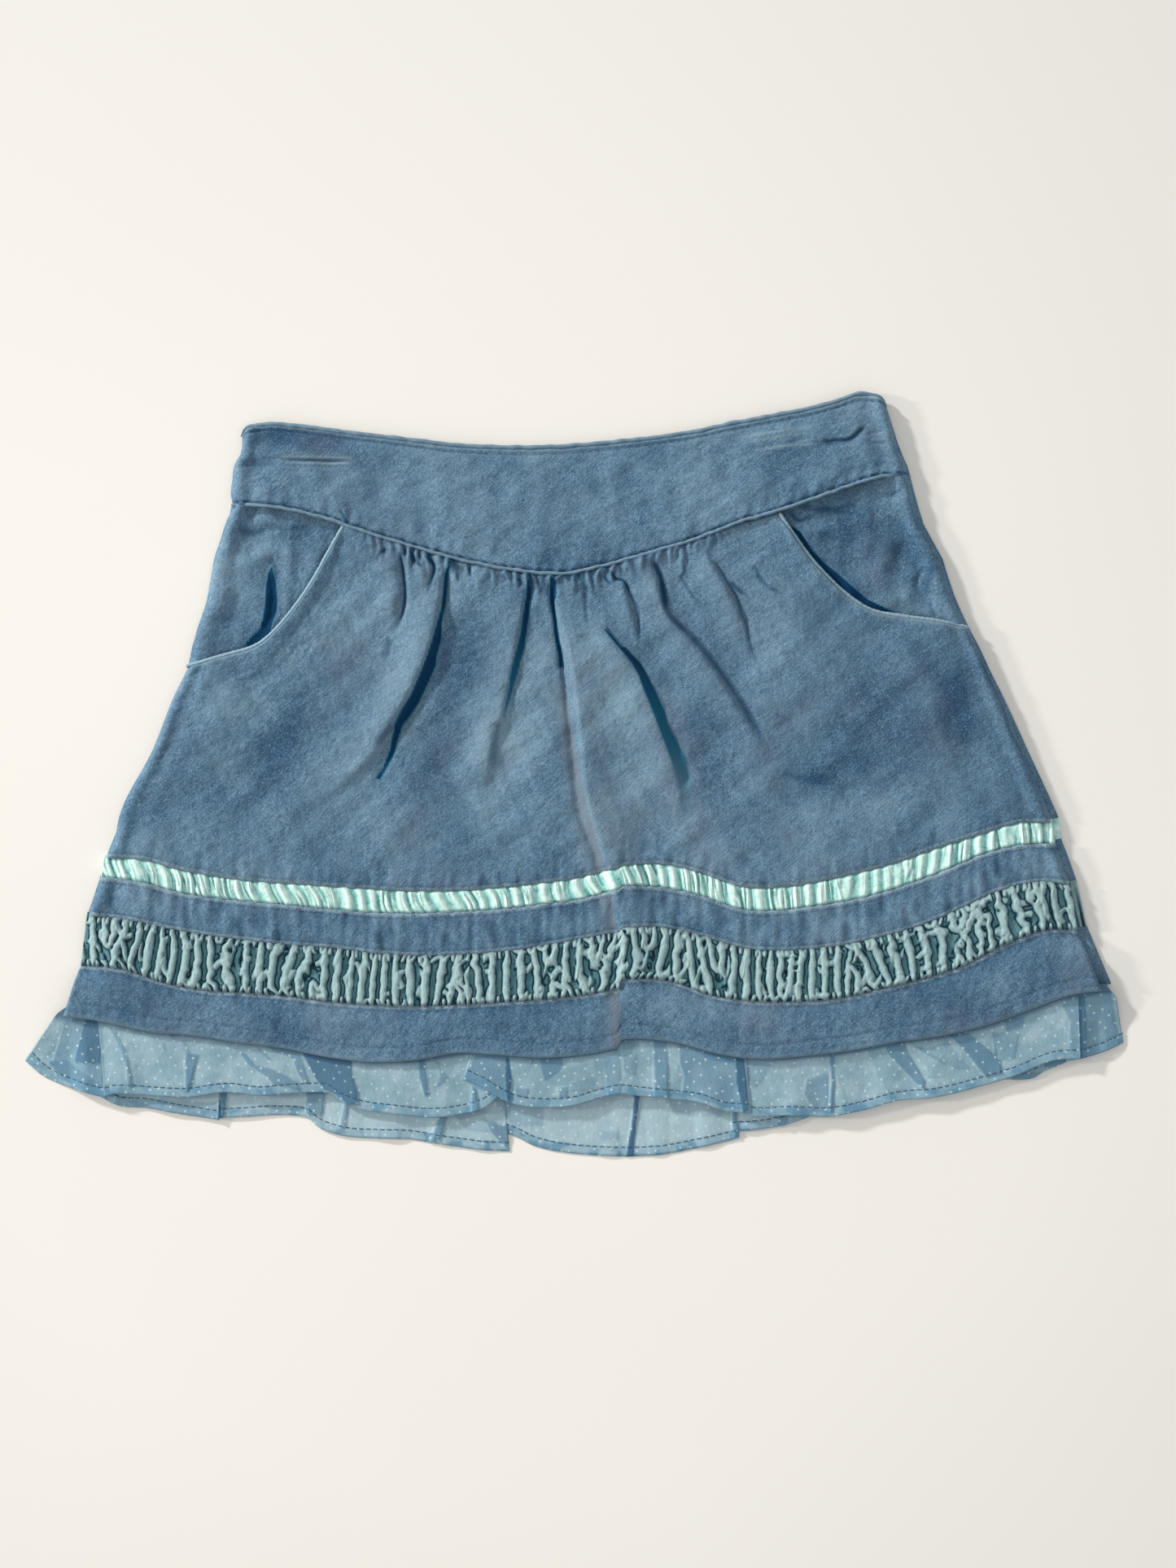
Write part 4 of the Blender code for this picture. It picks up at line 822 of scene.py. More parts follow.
def velvet_folds(x, y, from_top, from_low, seed):
    """The velvet's ruching: plump ridges of uneven width that run from seam to seam, joined here and
    there by links across, and split into short teeth along both seams. Gives the height, how open
    the ground is, and how far that ground lies out from under the ridges, all 0 to about 1."""
    rows, columns = x.shape
    step = np.ptp(x[0]) / columns, np.mean(y[0] - y[-1]) / rows
    seam = np.exp(-(np.clip(np.minimum(from_top, from_low), 0.0, None) / 2.8) ** 2)
    main = grain(rows, columns, *step, seed, 10.4, 0.5, 0.6, 2, 1.6) + 0.12 * soft_waves(x, y, seed + 6, 5.0)
    links = grain(rows, columns, *step, seed + 1, 10.0, 2.2, 0.45, 1, 1.5)
    teeth = grain(rows, columns, *step, seed + 2, 6.4, 0.8, 0.45, 1)
    wide = 2.4 + 0.35 * soft_waves(x, y * 0.4, seed + 3, 9.0) + 0.22 * soft_waves(x, y, seed + 7, 3.6)
    busy = smooth_step(0.30 + 1.2 * soft_waves(x, y, seed + 4, 8.0))
    main = line_distance(main, *step) / (wide * (1.0 - 0.55 * seam))
    links = line_distance(links, *step) / (LINK_WIDTH * wide)
    teeth = line_distance(teeth, *step) / (TOOTH_WIDTH * wide)
    link_share = smooth_step((busy - 0.3) / 0.4)
    tooth_share = smooth_step((seam - 0.25) / 0.4)
    link_height, tooth_height = 0.9 * plump(links) * link_share, 0.95 * plump(teeth) * tooth_share
    height = plump(main) ** 3 + link_height ** 3 + tooth_height ** 3
    height = np.minimum(height ** (1.0 / 3.0), VELVET_TALLEST)
    beside = (main - 1.0) * wide
    beside = np.minimum(beside, np.where(link_share > 0.5, (links - 1.0) * LINK_WIDTH * wide, 9.0))
    beside = np.minimum(beside, np.where(tooth_share > 0.5, (teeth - 1.0) * TOOTH_WIDTH * wide, 9.0))
    return height, 1.0 - smooth_step(height / 0.35), smooth_step((beside - 0.1) / 1.3)


def satin_folds(x, y, seed, lean):
    """The ribbon's gathers: broad and narrow ones side by side, slanting by lean millimetres from one
    edge to the other. Gives the height, thin painted glints along their tops and painted shade beside them."""
    rows, columns = x.shape
    step_x, step_y = np.ptp(x[0]) / columns, np.mean(y[0] - y[-1]) / rows
    down = np.linspace(-0.5, 0.5, rows)[:, None]
    shift = -lean[None, :] * down / step_x
    shift = shift + 0.12 * lean[None, :] * np.cos(down * 5.0 + 0.1 * x) / step_x
    broad = slanted(grain(rows, columns, step_x, step_y, seed, 5.6, 0.30, 0.60, 2), shift)
    fine = slanted(grain(rows, columns, step_x, step_y, seed + 1, 2.3, 0.28, 0.50, 2), shift)
    line = slanted(grain(rows, columns, step_x, step_y, seed + 2, 6.0, 0.32, 0.60, 1), shift)
    busy = smooth_step(0.5 + 0.8 * soft_waves(x, y * 0.3, seed + 3, 14.0))
    height = np.clip(0.52 + 0.40 * broad + 0.26 * fine * busy, 0.0, 1.0)
    glint = np.exp(-(line / 0.10) ** 2) * (0.3 + 0.7 * busy)
    beside = np.exp(-((line + 0.32) / 0.16) ** 2) * (0.3 + 0.7 * busy)
    return height, glint, beside


# Finishes

def linear(red, green, blue):
    """A colour given as it looks on a screen, 0 to 255, as linear light."""
    value = np.array([red, green, blue]) / 255.0
    value = np.where(value <= 0.04045, value / 12.92, ((value + 0.055) / 1.055) ** 2.4)
    return (*value.tolist(), 1.0)


class Finish:
    """A material whose nodes are added one after another."""

    def __init__(self, name, **sockets):
        """Starts a material with settings of its shader and the coordinates that its patterns use."""
        self.material = bpy.data.materials.new(name)
        self.material.use_nodes = True
        self.nodes = self.material.node_tree.nodes
        self.links = self.material.node_tree.links
        self.shader = self.nodes["Principled BSDF"]
        for socket, value in sockets.items():
            self.shader.inputs[socket.replace("_", " ")].default_value = value
        self.place = self.nodes.new("ShaderNodeTexCoord").outputs["Object"]

    def put(self, socket, source):
        """Links a socket to another node's output, or sets its value."""
        if hasattr(source, "is_output"):
            self.links.new(source, socket)
        else:
            socket.default_value = source

    def moved(self, stretch=(1.0, 1.0, 1.0), turn=0.0):
        """Object coordinates turned about Z, then stretched along the turned axes."""
        node = self.nodes.new("ShaderNodeMapping")
        node.vector_type = "TEXTURE"
        node.inputs["Rotation"].default_value = (0.0, 0.0, turn)
        node.inputs["Scale"].default_value = stretch
        self.put(node.inputs["Vector"], self.place)
        return node.outputs["Vector"]

    def noise(self, size, detail=3.0, rough=0.55, place=None, twist=0.0):
        """Cloudy values whose patches are about size millimetres across."""
        node = self.nodes.new("ShaderNodeTexNoise")
        node.inputs["Scale"].default_value = 1.0 / (size * MM)
        node.inputs["Detail"].default_value = detail
        node.inputs["Roughness"].default_value = rough
        node.inputs["Distortion"].default_value = twist
        self.put(node.inputs["Vector"], place or self.place)
        return node.outputs["Fac"]

    def mark(self, name):
        """The value that a mesh keeps at its points under a name."""
        node = self.nodes.new("ShaderNodeAttribute")
        node.attribute_name = name
        return node.outputs["Fac"]

    def steps(self, source, *stops):
        """A ramp through (place, colour or grey) stops."""
        node = self.nodes.new("ShaderNodeValToRGB")
        ramp = node.color_ramp
        while len(ramp.elements) < len(stops):
            ramp.elements.new(0.5)
        for element, (at, value) in zip(ramp.elements, stops):
            element.position = at
            element.color = value if hasattr(value, "__len__") else (value, value, value, 1.0)
        self.put(node.inputs["Fac"], source)
        return node.outputs["Color"]

    def blend(self, share, first, second):
        """The first colour, with a share of the second laid over it."""
        node = self.nodes.new("ShaderNodeMix")
        node.data_type = "RGBA"
        self.put(node.inputs[0], share)
        self.put(node.inputs[6], first)
        self.put(node.inputs[7], second)
        return node.outputs[2]

    def math(self, kind, first, second=0.0, third=0.0):
        """A sum, product or the like of two or three values."""
        node = self.nodes.new("ShaderNodeMath")
        node.operation = kind
        for socket, source in zip(node.inputs, (first, second, third)):
            self.put(socket, source)
        return node.outputs[0]

    def total(self, *parts, start=0.0):
        """The sum of values, each times its weight, added to a start."""
        for source, weight in parts:
            start = self.math("MULTIPLY_ADD", source, weight, start)
        return start

    def relief(self, height, depth, strength=1.0, under=None):
        """Bump whose full range of height is depth millimetres."""
        node = self.nodes.new("ShaderNodeBump")
        node.inputs["Strength"].default_value = strength
        node.inputs["Distance"].default_value = depth * MM
        self.put(node.inputs["Height"], height)
        if under is not None:
            self.put(node.inputs["Normal"], under)
        return node.outputs["Normal"]

    def done(self, colour, normal=None):
        """The material, with its colour and its bump on the shader."""
        self.put(self.shader.inputs["Base Color"], colour)
        if normal is not None:
            self.put(self.shader.inputs["Normal"], normal)
        return self.material


def make_velour():
    """Slate blue velour: a mottled short nap with pale specks and a faint diagonal rib, lighter or
    darker as the nap lies (mark nap), dark in the creases (mark hollow), teal to dark blue in the deep
    folds (mark wedge), rubbed pale (mark worn), and greyer along overlocked edges (mark serged)."""
    finish = Finish("velour", Roughness=0.93, Sheen_Weight=0.18, Sheen_Roughness=0.45,
                    Sheen_Tint=(0.62, 0.80, 0.95, 1.0), Specular_IOR_Level=0.15)
    broad = finish.noise(34.0, 2.0, 0.5)
    patch = finish.noise(3.2, 4.0, 0.7, twist=0.5)
    fleck = finish.noise(0.9, 2.0, 0.7)
    speck = finish.noise(0.46, 1.0, 0.6)
    rib = finish.noise(0.55, 1.0, 0.5, place=finish.moved((7.0, 0.8, 1.0), 0.72))
    warp = finish.noise(0.7, 1.0, 0.5, place=finish.moved((0.8, 9.0, 1.0), 0.05))
    # The broad strokes bring the pile's own tone and painted shade of broad folds
    tone = finish.total((broad, 0.34), (patch, 0.25), (fleck, 0.42), (rib, 0.28), (warp, 0.16),
                        (finish.mark("nap_and_shade"), 0.30), start=-0.065)
    colour = finish.steps(tone, (0.43, linear(44, 76, 106)), (0.59, linear(72, 104, 130)),
                          (0.71, linear(95, 126, 149)), (0.88, linear(123, 151, 170)))
    specks = finish.steps(speck, (0.58, 0.0), (0.72, 0.6))
    colour = finish.blend(specks, colour, linear(148, 172, 184))
    for turn in (0.85, -0.75):
        hairs = finish.noise(0.45, 0.0, 0.5, place=finish.moved((8.0, 0.6, 1.0), turn))
        hairs = finish.math("MULTIPLY", finish.steps(hairs, (0.62, 0.0), (0.74, 0.24)),
                            finish.steps(broad, (0.46, 0.0), (0.60, 1.0)))
        colour = finish.blend(hairs, colour, linear(150, 172, 184))
    # Paler where rubbed, and painted highlight on ridges and rolled edges
    colour = finish.blend(finish.mark("pale_and_highlight"), colour, linear(136, 158, 170))
    # Greyer in random patches and along the lap streak
    grey_tint = finish.noise(26.0, 2.0, 0.5, place=finish.moved((1.0, 1.6, 1.0), 0.4))
    colour = finish.blend(finish.steps(grey_tint, (0.50, 0.0), (0.68, 0.22)), colour, linear(110, 122, 136))
    colour = finish.blend(finish.mark("grey_tint"), colour, linear(104, 116, 128))
    # Painted shade in creases, grooves, seam ditches and gaps
    shade = finish.math("MULTIPLY", finish.mark("painted_shade"), 0.97)
    colour = finish.blend(shade, colour, linear(10, 58, 90))
    # Painted shade in the deep folds, teal to dark blue
    deep = finish.steps(finish.mark("wedge_shade"), (0.22, linear(70, 114, 136)), (0.42, linear(28, 94, 122)),
                        (0.58, linear(14, 80, 110)), (0.75, linear(0, 52, 86)))
    share = finish.steps(finish.mark("wedge_shade"), (0.0, 0.0), (0.35, 1.0))
    colour = finish.blend(share, colour, deep)
    fray = finish.noise(0.9, 2.0, 0.7)
    edge = finish.math("MULTIPLY", finish.mark("serged"), finish.steps(fray, (0.38, 0.18), (0.60, 0.8)))
    colour = finish.blend(edge, colour, linear(140, 158, 168))
    normal = finish.relief(finish.total((rib, 0.55), (speck, 0.45)), 0.34, 0.8)
    normal = finish.relief(patch, 0.5, 0.5, normal)
    return finish.done(colour, normal)


def make_piping_finish():
    """The cord of the piped seams, with a little painted highlight along its top, and rubbed pale along
    the pocket mouths."""
    finish = Finish("piping", Roughness=0.88, Sheen_Weight=0.2, Specular_IOR_Level=0.15)
    cloudy = finish.noise(3.0, 3.0, 0.6)
    fleck = finish.noise(0.5, 2.0, 0.6)
    tone = finish.total((fleck, 0.5), (cloudy, 0.5))
    colour = finish.steps(tone, (0.36, linear(66, 97, 121)), (0.64, linear(112, 140, 159)))
    # Painted highlight along the top of the cord
    crown_highlight = finish.steps(finish.mark("crest_shading"), (0.55, 0.0), (1.0, 0.35))
    colour = finish.blend(crown_highlight, colour, linear(134, 160, 177))
    colour = finish.blend(finish.mark("pale_and_highlight"), colour, linear(150, 175, 188))
    return finish.done(colour, finish.relief(fleck, 0.2, 0.6))


def make_satin():
    """Glossy mint ribbon: pale with painted highlight along the ridge tops of its gathers and green with
    painted shade between them, with thin bright painted glints (mark glint) and painted shade beside them."""
    finish = Finish("satin", Roughness=0.36, Specular_IOR_Level=0.5)
    cloudy = finish.noise(2.4, 3.0, 0.7, twist=0.8)
    # Pale with painted highlight on the gathers' tops and green with painted shade between them
    level = finish.total((finish.mark("crest_shading"), 0.44), (cloudy, 0.80))
    colour = finish.steps(level, (0.32, linear(94, 162, 160)), (0.48, linear(142, 202, 196)),
                          (0.64, linear(182, 225, 218)), (0.82, linear(222, 246, 238)))
    # Painted glints, then painted shade beside them and along the edges
    colour = finish.blend(finish.math("MULTIPLY", finish.mark("glint"), 0.75), colour, linear(226, 250, 240))
    threads = finish.noise(0.5, 1.0, 0.5, place=finish.moved((5.0, 0.4, 1.0), 0.1))
    colour = finish.blend(finish.mark("painted_shade"), colour, linear(52, 118, 120))
    normal = finish.relief(cloudy, 0.4, 0.5)
    return finish.done(colour, finish.relief(threads, 0.12, 0.4, normal))


def make_velvet():
    """Crushed grey teal velvet: nearly black with painted shade in the creases and pale with painted
    highlight on the tops of the ridges, and dark to mid teal on the open ground between them (marks ground
    and cell), with painted shade darkest close under the ridges and along the seams, mottled."""
    finish = Finish("velvet", Roughness=0.9, Sheen_Weight=0.15, Sheen_Roughness=0.5,
                    Sheen_Tint=(0.75, 0.92, 0.95, 1.0), Specular_IOR_Level=0.1)
    crush = finish.noise(1.9, 3.0, 0.65, twist=0.8)
    broad = finish.noise(6.0, 2.0, 0.5)
    fleck = finish.noise(0.5, 2.0, 0.7)
    # Painted shade in the creases and painted highlight on the ridge tops
    level = finish.total((finish.mark("crest_shading"), 0.75), (crush, 0.5))
    colour = finish.steps(level, (0.26, linear(8, 40, 56)), (0.46, linear(52, 92, 106)),
                          (0.74, linear(110, 144, 151)), (1.0, linear(158, 184, 186)))
    # Painted shade on the open ground, darkest close under the ridges
    level = finish.total((broad, 0.5), (finish.mark("cell"), 0.62))
    ground = finish.steps(level, (0.22, linear(6, 34, 50)), (0.48, linear(26, 70, 86)),
                          (0.80, linear(72, 118, 128)), (1.0, linear(106, 146, 152)))
    colour = finish.blend(finish.mark("ground"), colour, ground)
    colour = finish.blend(finish.steps(fleck, (0.50, 0.0), (0.75, 0.3)), colour, linear(150, 178, 182))
    # Painted shade along the seams, under the velour edges
    colour = finish.blend(finish.mark("painted_shade"), colour, linear(14, 38, 54))
    normal = finish.relief(crush, 0.5, 0.5)
    return finish.done(colour, finish.relief(fleck, 0.3, 0.6, normal))


def make_voile():
    """Thin pale blue voile with small light dots, deeper blue where pleats lie in two layers and along its
    narrow hem (mark hem), with painted shade in the pleats' darkest folds, on crumpled facets and where
    the front ruffle shades the back one, painted shadow just below the hem band, and paler at the back."""
    finish = Finish("voile", Roughness=0.7, Sheen_Weight=0.1, Specular_IOR_Level=0.3)
    cloudy = finish.noise(7.0, 3.0, 0.6, twist=0.4)
    weave = finish.noise(0.5, 1.0, 0.6)
    tone = finish.total((weave, 0.25), (cloudy, 0.75))
    colour = finish.steps(tone, (0.34, linear(127, 160, 175)), (0.66, linear(162, 189, 200)))
    crush = finish.nodes.new("ShaderNodeTexVoronoi")
    crush.voronoi_dimensions = "2D"
    crush.feature = "F2"
    crush.inputs["Scale"].default_value = 1.0 / (15.0 * MM)
    finish.put(crush.inputs["Vector"], finish.moved((1.0, 1.5, 1.0), -0.3))
    # Painted shade on crumpled facets
    facet_shade = finish.steps(crush.outputs["Color"], (0.30, 0.0), (0.34, 0.4), (0.62, 0.4), (0.66, 0.0))
    colour = finish.blend(facet_shade, colour, linear(120, 156, 172))
    colour = finish.blend(finish.mark("pale_and_highlight"), colour, linear(188, 210, 217))
    # Deeper blue where pleats lie in two layers, with painted shade in the darkest folds
    colour = finish.blend(finish.math("MULTIPLY", finish.mark("double_and_shade"), 0.85), colour, linear(70, 116, 146))
    blocks = finish.steps(finish.noise(5.0, 1.0, 0.5), (0.47, 0.28), (0.52, 0.5), (0.58, 0.5), (0.62, 0.85))
    colour = finish.blend(finish.math("MULTIPLY", finish.mark("hem"), blocks), colour, linear(92, 138, 166))
    dots = finish.nodes.new("ShaderNodeTexVoronoi")
    dots.voronoi_dimensions = "2D"
    dots.feature = "F1"
    dots.inputs["Scale"].default_value = 1.0 / (4.2 * MM)
    dots.inputs["Randomness"].default_value = 0.55
    finish.put(dots.inputs["Vector"], finish.moved((1.0, 1.0, 1.0), 0.5))
    dot = finish.steps(dots.outputs["Distance"], (0.085, 0.75), (0.125, 0.0))
    colour = finish.blend(dot, colour, linear(190, 212, 218))
    # Painted shadow just below the hem band, and painted shade in the deepest pleats
    colour = finish.blend(finish.mark("painted_shade"), colour, linear(34, 78, 112))
    return finish.done(colour, finish.relief(weave, 0.12, 0.4))


def make_thread():
    """Dark blue sewing thread."""
    finish = Finish("thread", Roughness=0.6)
    ply = finish.noise(0.4, 1.0, 0.5)
    return finish.done(finish.steps(ply, (0.4, linear(38, 68, 94)), (0.6, linear(66, 98, 124))))


def make_floor_finish():
    """A plain, slightly warm white surface, with painted shade that makes it a little greyer away
    from the middle.
    """
    finish = Finish("floor", Roughness=0.9, Specular_IOR_Level=0.1)
    cloudy = finish.noise(300.0, 2.0, 0.5)
    away = finish.nodes.new("ShaderNodeVectorMath")
    away.operation = "DISTANCE"
    finish.put(away.inputs[0], finish.place)
    away.inputs[1].default_value = (-0.03, -0.08, 0.0)
    colour = finish.steps(cloudy, (0.3, (0.885, 0.850, 0.800, 1.0)), (0.7, (0.905, 0.870, 0.820, 1.0)))
    # Painted shade: greyer away from the middle
    grey = finish.steps(away.outputs["Value"], (0.20, 0.0), (0.48, 1.0))
    return finish.done(finish.blend(grey, colour, (0.79, 0.765, 0.730, 1.0)))


VELOUR_FINISH = make_velour()
PIPING_FINISH = make_piping_finish()
SATIN_FINISH = make_satin()
VELVET_FINISH = make_velvet()
VOILE_FINISH = make_voile()
THREAD_FINISH = make_thread()


def settle(piece, node):
    """Puts a piece in the place of its node, which it hides, on the skirt's one body."""
    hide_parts(node)
    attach(piece, "root")
    return piece


def serging(distance):
    """1 along an overlocked edge, fading over the width of its stitches."""
    return 1.0 - smooth_step((distance - 0.6 * SERGING_WIDTH) / (0.8 * SERGING_WIDTH))


def ditch(distance, x):
    """The thin stitched ditch beside an overlocked edge."""
    return np.exp(-((distance - DITCH_PLACE) / 0.4) ** 2) * (0.75 + 0.25 * np.sin(x / 0.45))


def puckers(x, y, distance, seed, reach):
    """Small folds square to a seam, fading away from it."""
    return soft_waves(x, y * 0.28, seed, 5.0) * np.exp(-(distance / reach) ** 2)


def velour_face(x, y, under, seed):
    """The upper face of a velour piece: its wall's thickness and a faint unevenness."""
    return under + VELOUR + 0.12 * soft_waves(x, y, seed, 9.0) + 0.05 * soft_waves(x, y, seed + 1, 3.2)


def lap_grey(x, y):
    """The greyish streak along the centre lap, at full strength down to the hem."""
    return stroke_sum(x, y, LAP_STREAK, 0.12, 0.02)


def make_yoke():
    """The front yoke: creased near both sides, with a stitched groove below its rolled top edge."""
    u = np.linspace(0.0, 1.0, 401)
    v = np.linspace(0.0, 1.0, 65)
    x, y, v = lines_between(front_line("waist", u), front_line("yoke", u), v)
    width = line_width("yoke")
    ease = side_ease(u, width)
    from_top = y[0] - y
    from_low = y - y[-1]
    from_side = from_sides(u, width)
    x = follow_sides(x, y, u, width)
    under = front_underside("waist", "yoke", u, v, width)
    relief = stroke_sum(x, y, YOKE_CREASES, 0.15, 0.2) * ease
    shades = stroke_sum(x, y, YOKE_SHADES, 0.15, 0.2, 3.0)
    groove = np.exp(-((from_top - DITCH_PLACE) / 0.45) ** 2)
    seam = np.exp(-((from_low - 1.1) / 0.6) ** 2) * (0.8 + 0.35 * soft_waves(x, y, 15, 3.0))
    swell = 0.35 * soft_waves(x, y, 11, 34.0) + 0.22 * soft_waves(x, y, 12, 13.0)
    swell = swell * ease * smooth_step(from_top / 6.0) * smooth_step(from_low / 6.0)
    small = 0.2 * puckers(x, y, from_low, 13, 7.0) * ease
    top = velour_face(x, y, under, 21) + relief + swell + small
    top = top - 0.45 * groove - 0.5 * shades * ease - 0.3 * seam
    top = top - rounded(from_low, EDGE_ROUND) - rounded(from_top, 0.5) + side_roll(from_side)
    top = np.maximum(top, LOWEST_FACE)
    under = hang(top, under)
    # Painted shade in the stitched groove, the seam ditch, the creases and the puckers
    painted_shade = (0.7 * groove * (0.75 + 0.25 * np.sin(x / 0.42)) + 0.4 * np.clip(-relief, 0.0, 1.0) + shades
              + 0.95 * seam + 0.3 * np.clip(-small, 0.0, 1.0))
    # Painted highlight along the rolled top edge, and the pale lines along the creases
    pale_and_highlight = 0.35 * np.exp(-(from_top / 0.9) ** 2) + stroke_sum(x, y, YOKE_PALE, 0.1, 0.1)
    # The broad strokes are the pile's own tone and painted shade
    marks = {"painted_shade": np.clip(painted_shade, 0.0, 1.0), "pale_and_highlight": np.clip(pale_and_highlight, 0.0, 0.8), "serged": 0.0,
             "nap_and_shade": stroke_sum(x, y, YOKE_NAP_AND_SHADE, 0.3, 0.3)}
    return cloth("yoke_front_cloth", x, y, top, under, marks, VELOUR_FINISH)


def gathers(x, below):
    """Short gathers under the yoke seam: narrow ridges of uneven length that fade downwards, and the
    painted shade in the troughs beside them.
    """
    draw = np.random.default_rng(31)
    places = np.arange(-80.0, 58.0, 2.75)
    places = places + draw.normal(0.0, 0.5, len(places))
    total = np.zeros(x.shape)
    painted_shade = np.zeros(x.shape)
    middle = x[0]
    for place in places:
        length = draw.uniform(4.0, 15.0)
        lean = draw.normal(0.0, 1.6)
        hook = draw.normal(0.0, 1.2)
        width = draw.uniform(0.75, 1.25)
        height = draw.uniform(0.5, 1.1) * np.interp(place, GATHER_PLACES, GATHER_SHARES)
        near = slice(*np.searchsorted(middle, (place - 7.0, place + 7.0)))
        share = below[:, near] / length
        centre = place + lean * share + hook * np.exp(-(share / 0.25) ** 2)
        fade = smooth_step((1.0 - share) / 0.8) * smooth_step(below[:, near] / 0.8 + 0.2)
        side = (x[:, near] - centre) / width
        total[:, near] += 1.25 * height * fade * np.exp(-side ** 2)
        trough = (x[:, near] - centre - 1.35 * width) / (0.6 * width)
        painted_shade[:, near] += 0.9 * fade * height * np.exp(-trough ** 2)
    return total, painted_shade


def make_panel():
    """The gathered front panel: its top runs up one pocket mouth, along the yoke and down the other,
    and its deep folds fan out from the gathers."""
    left_x, left_y = smooth_path(LEFT_MOUTH, 90).T
    right_x, right_y = smooth_path(RIGHT_MOUTH[::-1], 90).T
    seam_x = np.linspace(LEFT_MOUTH[-1][0], RIGHT_MOUTH[-1][0], 300)[1:-1]
    top_x = np.concatenate([left_x, seam_x, right_x])
    top_y = np.concatenate([left_y, height_above("yoke", seam_x), right_y])
    u = (top_x - top_x[0]) / (top_x[-1] - top_x[0])
    rows = np.linspace(0.0, 1.0, 169)
    rows = 0.62 * rows + 0.38 * rows ** 1.8
    x, y, v = lines_between((top_x, top_y), front_line("satin_top", u), rows)
    width = line_width("satin_top")
    ease = side_ease(u, width)
    below = top_y[None, :] - y
    from_low = y - y[-1]
    from_side = from_sides(u, width)
    x = follow_sides(x, y, u, width)
    under = front_underside("yoke", "satin_top", u, v, width)
    folds = stroke_sum(x, y, FOLDS)
    troughs = stroke_sum(x, y, TROUGHS, 0.12, 0.4)
    shades = stroke_sum(x, y, SHADES, 0.1, 0.3, 3.0)
    # Wedges of painted shade in the deep folds
    wedge_shading = patch_shade(x, y, PANEL_SHADE_WEDGES)
    small, gather_shade = gathers(x, below)
    swell = 0.35 * soft_waves(x, y, 41, 40.0) + 0.24 * soft_waves(x, y, 42, 14.0)
    swell = swell * smooth_step(from_low / 12.0)
    in_mouth = smooth_step((LEFT_MOUTH[-1][0] - top_x) / 5.0)
    in_mouth = in_mouth + smooth_step((top_x - RIGHT_MOUTH[-1][0]) / 5.0)
    lift = 1.2 * in_mouth * (1.0 - smooth_step(below / 15.0))
    crinkle = 0.22 * puckers(x, y, from_low, 43, 8.0)
    dent = 0.5 * shades + 0.7 * patch_shade(x, y, PANEL_SHADE_WEDGES, 2.4)
    raised = folds - troughs - dent + small + swell + lift + crinkle
    under = np.maximum(under + raised * ease, LOWEST_FRONT - 0.1 * (1.0 - ease))
    top = velour_face(x, y, under, 45) + side_roll(from_side)
    top = top - rounded(from_low, EDGE_ROUND) - rounded(below, EDGE_ROUND)
    top = np.maximum(top - 0.2 * ditch(from_low, x), LOWEST_FACE)
    under = hang(top, under)
    # Painted shade in the dark creases, beside the gathers, just under the yoke seam, in the ditch and the
    # crinkles
    painted_shade = shades + 0.7 * gather_shade
    painted_shade = painted_shade + 0.6 * np.exp(-((below - 0.7) / 0.5) ** 2) * (1.0 - in_mouth)
    painted_shade = painted_shade + 0.4 * ditch(from_low, x) + 0.25 * np.clip(-crinkle / 0.22, 0.0, 1.0)
    # Painted highlight on the ridges of folds and gathers, and paler along the pocket mouths
    pale_and_highlight = 0.09 * np.clip(folds, 0.0, 2.0) + 0.14 * np.clip(small, 0.0, 1.0)
    pale_and_highlight = pale_and_highlight + 0.35 * in_mouth * np.exp(-(below / 1.2) ** 2)
    # The broad strokes are the pile's own tone and painted shade
    marks = {"painted_shade": np.clip(painted_shade, 0.0, 1.0), "pale_and_highlight": np.clip(pale_and_highlight, 0.0, 0.5),
             "serged": serging(from_low), "wedge_shade": wedge_shading,
             "nap_and_shade": stroke_sum(x, y, PANEL_NAP_AND_SHADE, 0.3, 0.3), "grey_tint": lap_grey(x, y)}
    return cloth("panel_front_cloth", x, y, top, under, marks, VELOUR_FINISH)


